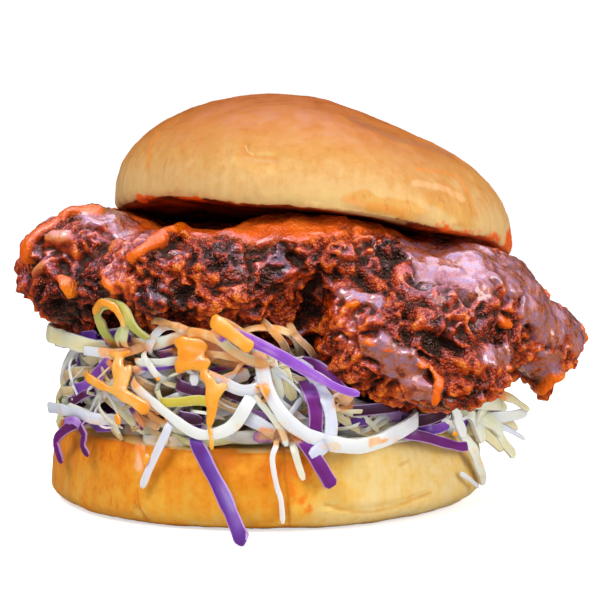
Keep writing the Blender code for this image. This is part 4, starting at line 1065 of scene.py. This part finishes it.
def shred_tree():
    """Strips swept along chains of points: flat section, a slight cup, ripples and uneven width."""
    nodes, given, place, _ = geometry_tree("cut shreds", None, {
        "Thickness Share": 0.26, "Cup": 0.1, "Ripple": 0.5 * MM, "Ripple Length": 7.0 * MM, "Unevenness": 0.35,
        "Corner": 0.25, "Sides": 10})
    line = nodes.value("GeometryNodeMeshToCurve", (given["Geometry"],))
    line = nodes.store(line, "along", nodes.value("GeometryNodeSplineParameter", output="Length"))
    broad = nodes.named("broad", "FLOAT_VECTOR")
    wave = place.wobble(1.0 / given["Ripple Length"], 1.0) * (given["Ripple"] * 2.0)
    line = nodes.moved(line, Offset=broad * wave)
    line = nodes.value("GeometryNodeSetCurveNormal", {"Curve": line, "Normal": broad}, mode="FREE")
    ring = nodes.value("GeometryNodeCurvePrimitiveCircle", {"Resolution": given["Sides"], "Radius": 1.0})
    through, across, _ = place.parts()
    face = nodes.math("SIGN", through) * abs(through) ** given["Corner"]
    side = nodes.math("SIGN", across) * abs(across) ** 0.7
    thin = face * given["Thickness Share"] - across * across * given["Cup"]
    ring = nodes.store(ring, "across", across)
    ring = nodes.moved(ring, Position=nodes.value("ShaderNodeCombineXYZ", (thin, side, 0.0)))
    half = nodes.named("half") * (place.wobble(130.0) * 2.0 * given["Unevenness"] + 1.0)
    inputs = {"Curve": line, "Profile Curve": ring, "Scale": half, "Fill Caps": True}
    return finish_tree(nodes, nodes.value("GeometryNodeCurveToMesh", inputs), given["Material"])


def shred_material(name, tones, cut_edge, edge_share, film, through):
    """Cabbage: its tone runs over the broad side, the cut edges are lighter, and sauce films lie on top."""
    material, nodes, shader, place = new_material(
        name, Coat_Weight=0.14, Coat_Roughness=0.2, Subsurface_Weight=through,
        Subsurface_Radius=(1.6 * MM, 1.4 * MM, 1.0 * MM), Subsurface_Scale=1.0)
    across, along, shade = nodes.stored("across"), nodes.stored("along"), nodes.stored("shade")
    fibre = nodes.value("ShaderNodeCombineXYZ", (along * 90.0, across * 3.2 + shade * 40.0, shade))
    vein = fibre.noise(1.0, 3.0, 0.6)
    level = (vein - 0.5) * 0.36 + shade
    tint = (place.wobble(170.0, 3.0) * 0.36 + level).ramp(*tones)
    tint = nodes.mix(abs(across).spread(0.7, 0.9) * edge_share, tint, cut_edge)
    tint = nodes.mix(nodes.mottle(130.0, 0.56, 0.66) * film, tint, (246, 196, 134))
    sauce = nodes.mix(nodes.mottle(300.0), (250, 160, 56), (248, 196, 136))
    nodes.feed(shader, {
        "Base Color": nodes.mix(nodes.ragged("sauce", 260.0, 0.9) * 0.85, tint, sauce),
        "Roughness": vein.spread(0.3, 0.7, 0.34, 0.55), "Normal": nodes.bump(0.4, 0.15 * MM, vein)})
    return material


def make_shreds(carriers):
    # The ramps' lowest stops, brown on white and dark maroon on purple, paint shade on shreds under the fillet,
    # besides the cabbage's own tone.
    white = shred_material("white cabbage", (
        (0.0, 172, 130, 84), (0.14, 204, 180, 132), (0.32, 226, 218, 166), (0.55, 228, 236, 216),
        (0.8, 228, 234, 236), (1.0, 210, 218, 236)), (240, 244, 246), 0.4, 0.5, 0.35)
    purple = shred_material("purple cabbage", (
        (0.0, 58, 8, 34), (0.2, 82, 12, 62), (0.42, 112, 10, 122), (0.62, 84, 40, 142), (0.84, 146, 76, 196),
        (1.0, 196, 160, 222)), (206, 172, 230), 0.7, 0.0, 0.1)
    green = shred_material("green cabbage", (
        (0.0, 212, 194, 60), (0.38, 186, 196, 84), (0.7, 206, 216, 146), (1.0, 228, 232, 186)),
        (230, 234, 180), 0.5, 0.3, 0.3)
    tree = shred_tree()
    kinds = (
        ("white", WHITE_SHREDS, white, 34), ("purple", PURPLE_SHREDS, purple, 18), ("green", GREEN_SHREDS, green, 26))
    for k, (kind, shreds, material, lean) in enumerate(kinds):
        routes = named_routes(shreds, carriers, SHRED_CLEAR)
        named = len(routes)
        routes += fill_routes(FILL_COUNTS[kind], carriers, FILL_SEED + k)
        if kind == "white":
            routes += thread_routes(carriers)
        thing = run_tree(route_object(f"cabbage_{kind}", routes, lean, named, seed=k), tree, Material=material)
        raise_to(thing, FLOOR_CLEAR)
        set_values(thing, sauce=patch_mask(warped(read(thing), 3 * MM, 2 * MM), SAUCE_SPLASHES))
        finished(thing, "slaw", *(["slaw"] if kind == "white" else []), crisp=CRISP)


def make_slaw_core(carriers):
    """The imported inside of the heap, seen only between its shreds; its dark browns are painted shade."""
    mesh = bmesh.new()
    wall = []
    for i in range(CORE_STEPS):
        bearing = 360 * i / CORE_STEPS
        foot = at_bearing(bearing, CORE_FOOT, HEEL_HEIGHT)
        low = level_of(carriers[0], foot, MM) - 0.2 * MM
        high = level_of(carriers[1], foot, 2 * MM, above=True) + 0.4 * MM
        column = []
        for k in range(CORE_RINGS):
            place = at_bearing(bearing, 1.0, low + (high - low) * (k / (CORE_RINGS - 1)))
            lump = noise.noise(Vector((place.x, place.y, place.z / (40 * MM))) * 9.0)
            column.append(mesh.verts.new(at_bearing(bearing, CORE_RADIUS + CORE_LUMP * lump, place.z)))
        wall.append(column)
    beside = list(zip(wall, wall[1:] + wall[:1]))
    for here, there in beside:
        for k in range(CORE_RINGS - 1):
            mesh.faces.new((here[k], there[k], there[k + 1], here[k + 1]))
    for ring, step in ((0, -1), (CORE_RINGS - 1, 1)):
        hub = mesh.verts.new(sum((column[ring].co for column in wall), Vector()) / CORE_STEPS)
        for here, there in beside:
            mesh.faces.new((here[ring], there[ring], hub)[::step])
    core = object_of("slaw_core", mesh)
    material, nodes, shader, place = new_material("packed slaw in painted shade", Coat_Weight=0.3, Coat_Roughness=0.2)
    strand = (place * (1.0, 1.0, 4.0)).noise(260.0, 4.0, 0.6)
    # The dark stops are painted shade between the shreds; the paler ones are the slaw's own strands.
    shade = strand.ramp((0.3, 58, 38, 16), (0.45, 120, 88, 40), (0.56, 170, 140, 80), (0.7, 206, 186, 130))
    nodes.feed(shader, {"Base Color": shade, "Normal": nodes.bump(0.9, 0.8 * MM, strand)})
    core.data.materials.append(material)
    finished(core, "slaw")


def make_slaw_sauce(carriers):
    """Thick sauce over the shreds: runs that melt into one another."""
    material, nodes, shader, place = new_material(
        "orange chilli mayonnaise", Coat_Weight=0.8, Coat_Roughness=0.08, Roughness=0.3, Subsurface_Weight=0.3,
        Subsurface_Radius=(2.0 * MM, 1.0 * MM, 0.3 * MM), Subsurface_Scale=1.0)
    shade = place.noise(150.0, 3.0).ramp((0.3, 255, 150, 10), (0.5, 255, 170, 40), (0.68, 255, 194, 104))
    shade = nodes.mix(nodes.mottle(900.0, 0.7, 0.74) * 0.6, shade, (200, 70, 10))
    nodes.feed(shader, {"Base Color": shade, "Normal": nodes.bump(0.3, 0.2 * MM, place.noise(420.0))})
    thing = route_object("slaw_sauce", named_routes(SAUCE_RUNS, carriers, SAUCE_CLEAR))
    run_tree(
        thing, shred_tree(), Thickness_Share=0.42, Cup=0.0, Ripple=0.8 * MM, Ripple_Length=5.0 * MM, Unevenness=0.9,
        Corner=0.6, Sides=12)
    melt(thing, SAUCE_CELL, 0.6, SAUCE_ROUNDS)
    thing.data.materials.clear()
    thing.data.materials.append(material)
    finished(thing, "slaw")


# ---- stage


def make_paper():
    """A pale floor that curves up behind."""
    half_width, front, back, top, bend = PAPER
    profile = [(front, 0.0), (back - bend, 0.0)]
    for angle in (math.radians(9 * i) for i in range(1, 11)):
        profile.append((back - bend + bend * math.sin(angle), bend - bend * math.cos(angle)))
    corners = [(x, y, z) for y, z in (*profile, (back, top)) for x in (-half_width, half_width)]
    mesh = bpy.data.meshes.new("pale_floor")
    mesh.from_pydata(corners, [], [(i, i + 1, i + 3, i + 2) for i in range(0, len(corners) - 2, 2)])
    mesh.shade_smooth()
    material, nodes, shader, _ = new_material(
        "pale studio paper", Roughness=0.9, Specular_IOR_Level=0.1, Emission_Color=(1.0, 1.0, 1.0, 1.0))
    glossy, seen = (nodes.value("ShaderNodeLightPath", output=f"Is {ray} Ray") for ray in ("Glossy", "Camera"))
    paper = nodes.mix(glossy, (0.82, 0.82, 0.82, 1.0), (0.1, 0.09, 0.09, 1.0))
    nodes.feed(shader, {"Base Color": paper, "Emission Strength": seen * PAPER_GLOW})
    mesh.materials.append(material)
    new_object("pale_floor", mesh)


def make_sky(scene):
    """Soft light from all round, a violet sheen for what glossy skins mirror, and white behind it all."""
    scene.world = bpy.data.worlds.new("studio")
    scene.world.use_nodes = True
    tree = scene.world.node_tree
    sky = Nodes(tree)
    glossy, seen = (sky.value("ShaderNodeLightPath", output=f"Is {ray} Ray") for ray in ("Glossy", "Camera"))
    _, depth, height = sky.value("ShaderNodeTexCoord", output="Generated").parts()
    strength = (depth * -0.3 + height).spread(0.16, 0.95, *SHEEN_STRENGTH)
    shone = sky.value("ShaderNodeBackground", (SHEEN_TINT, strength))
    white = sky.value("ShaderNodeBackground", ((1.0, 1.0, 1.0, 1.0), 1.0))
    sky.feed(tree.nodes["Background"], SKY)
    both = sky.value("ShaderNodeMixShader", (glossy, Value(sky, tree.nodes["Background"].outputs[0]), shone))
    sky.feed(tree.nodes["World Output"], {"Surface": sky.value("ShaderNodeMixShader", (seen, both, white))})


def aimed(name, data, place, target):
    """An object of the stage that looks from its place to a target."""
    thing = new_object(name, data)
    thing.location = place
    thing.rotation_euler = (Vector(target) - Vector(place)).to_track_quat("-Z", "Y").to_euler()
    return thing


def make_stage():
    scene = bpy.context.scene
    scene.view_settings.view_transform = "Standard"
    make_paper()
    make_sky(scene)
    for name, (place, size, power, tint) in LIGHTS.items():
        light = bpy.data.lights.new(name, "AREA")
        light.shape = "RECTANGLE"
        light.size, light.size_y = size
        light.energy = power
        light.color = tint
        aimed(name, light, place, LIGHTS_AIM)
    camera = bpy.data.cameras.new("camera")
    camera.lens = CAMERA_LENS
    camera.sensor_width = CAMERA_SENSOR
    camera.clip_start = 0.01
    back_off = Vector((0, -math.cos(CAMERA_ELEVATION), math.sin(CAMERA_ELEVATION))) * CAMERA_DISTANCE
    scene.camera = aimed("camera", camera, Vector(CAMERA_TARGET) + back_off, CAMERA_TARGET)


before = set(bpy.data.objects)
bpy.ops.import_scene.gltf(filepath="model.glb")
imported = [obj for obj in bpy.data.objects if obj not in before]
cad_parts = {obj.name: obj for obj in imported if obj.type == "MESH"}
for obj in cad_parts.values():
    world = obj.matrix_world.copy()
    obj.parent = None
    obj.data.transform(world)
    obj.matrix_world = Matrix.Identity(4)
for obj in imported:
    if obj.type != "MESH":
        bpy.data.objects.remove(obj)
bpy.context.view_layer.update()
GROUPS = {"mottle": make_mottle(), "ragged edge": make_ragged_edge(), "stroke": make_stroke()}
CARRIERS = [
    BVHTree.FromPolygons([v.co for v in mesh.vertices], [p.vertices[:] for p in mesh.polygons])
    for mesh in (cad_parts["heel"].data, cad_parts["chicken"].data)]
make_stage()
make_heel()
make_slaw_core(CARRIERS)
make_shreds(CARRIERS)
make_slaw_sauce(CARRIERS)
make_fillet()
make_crown()
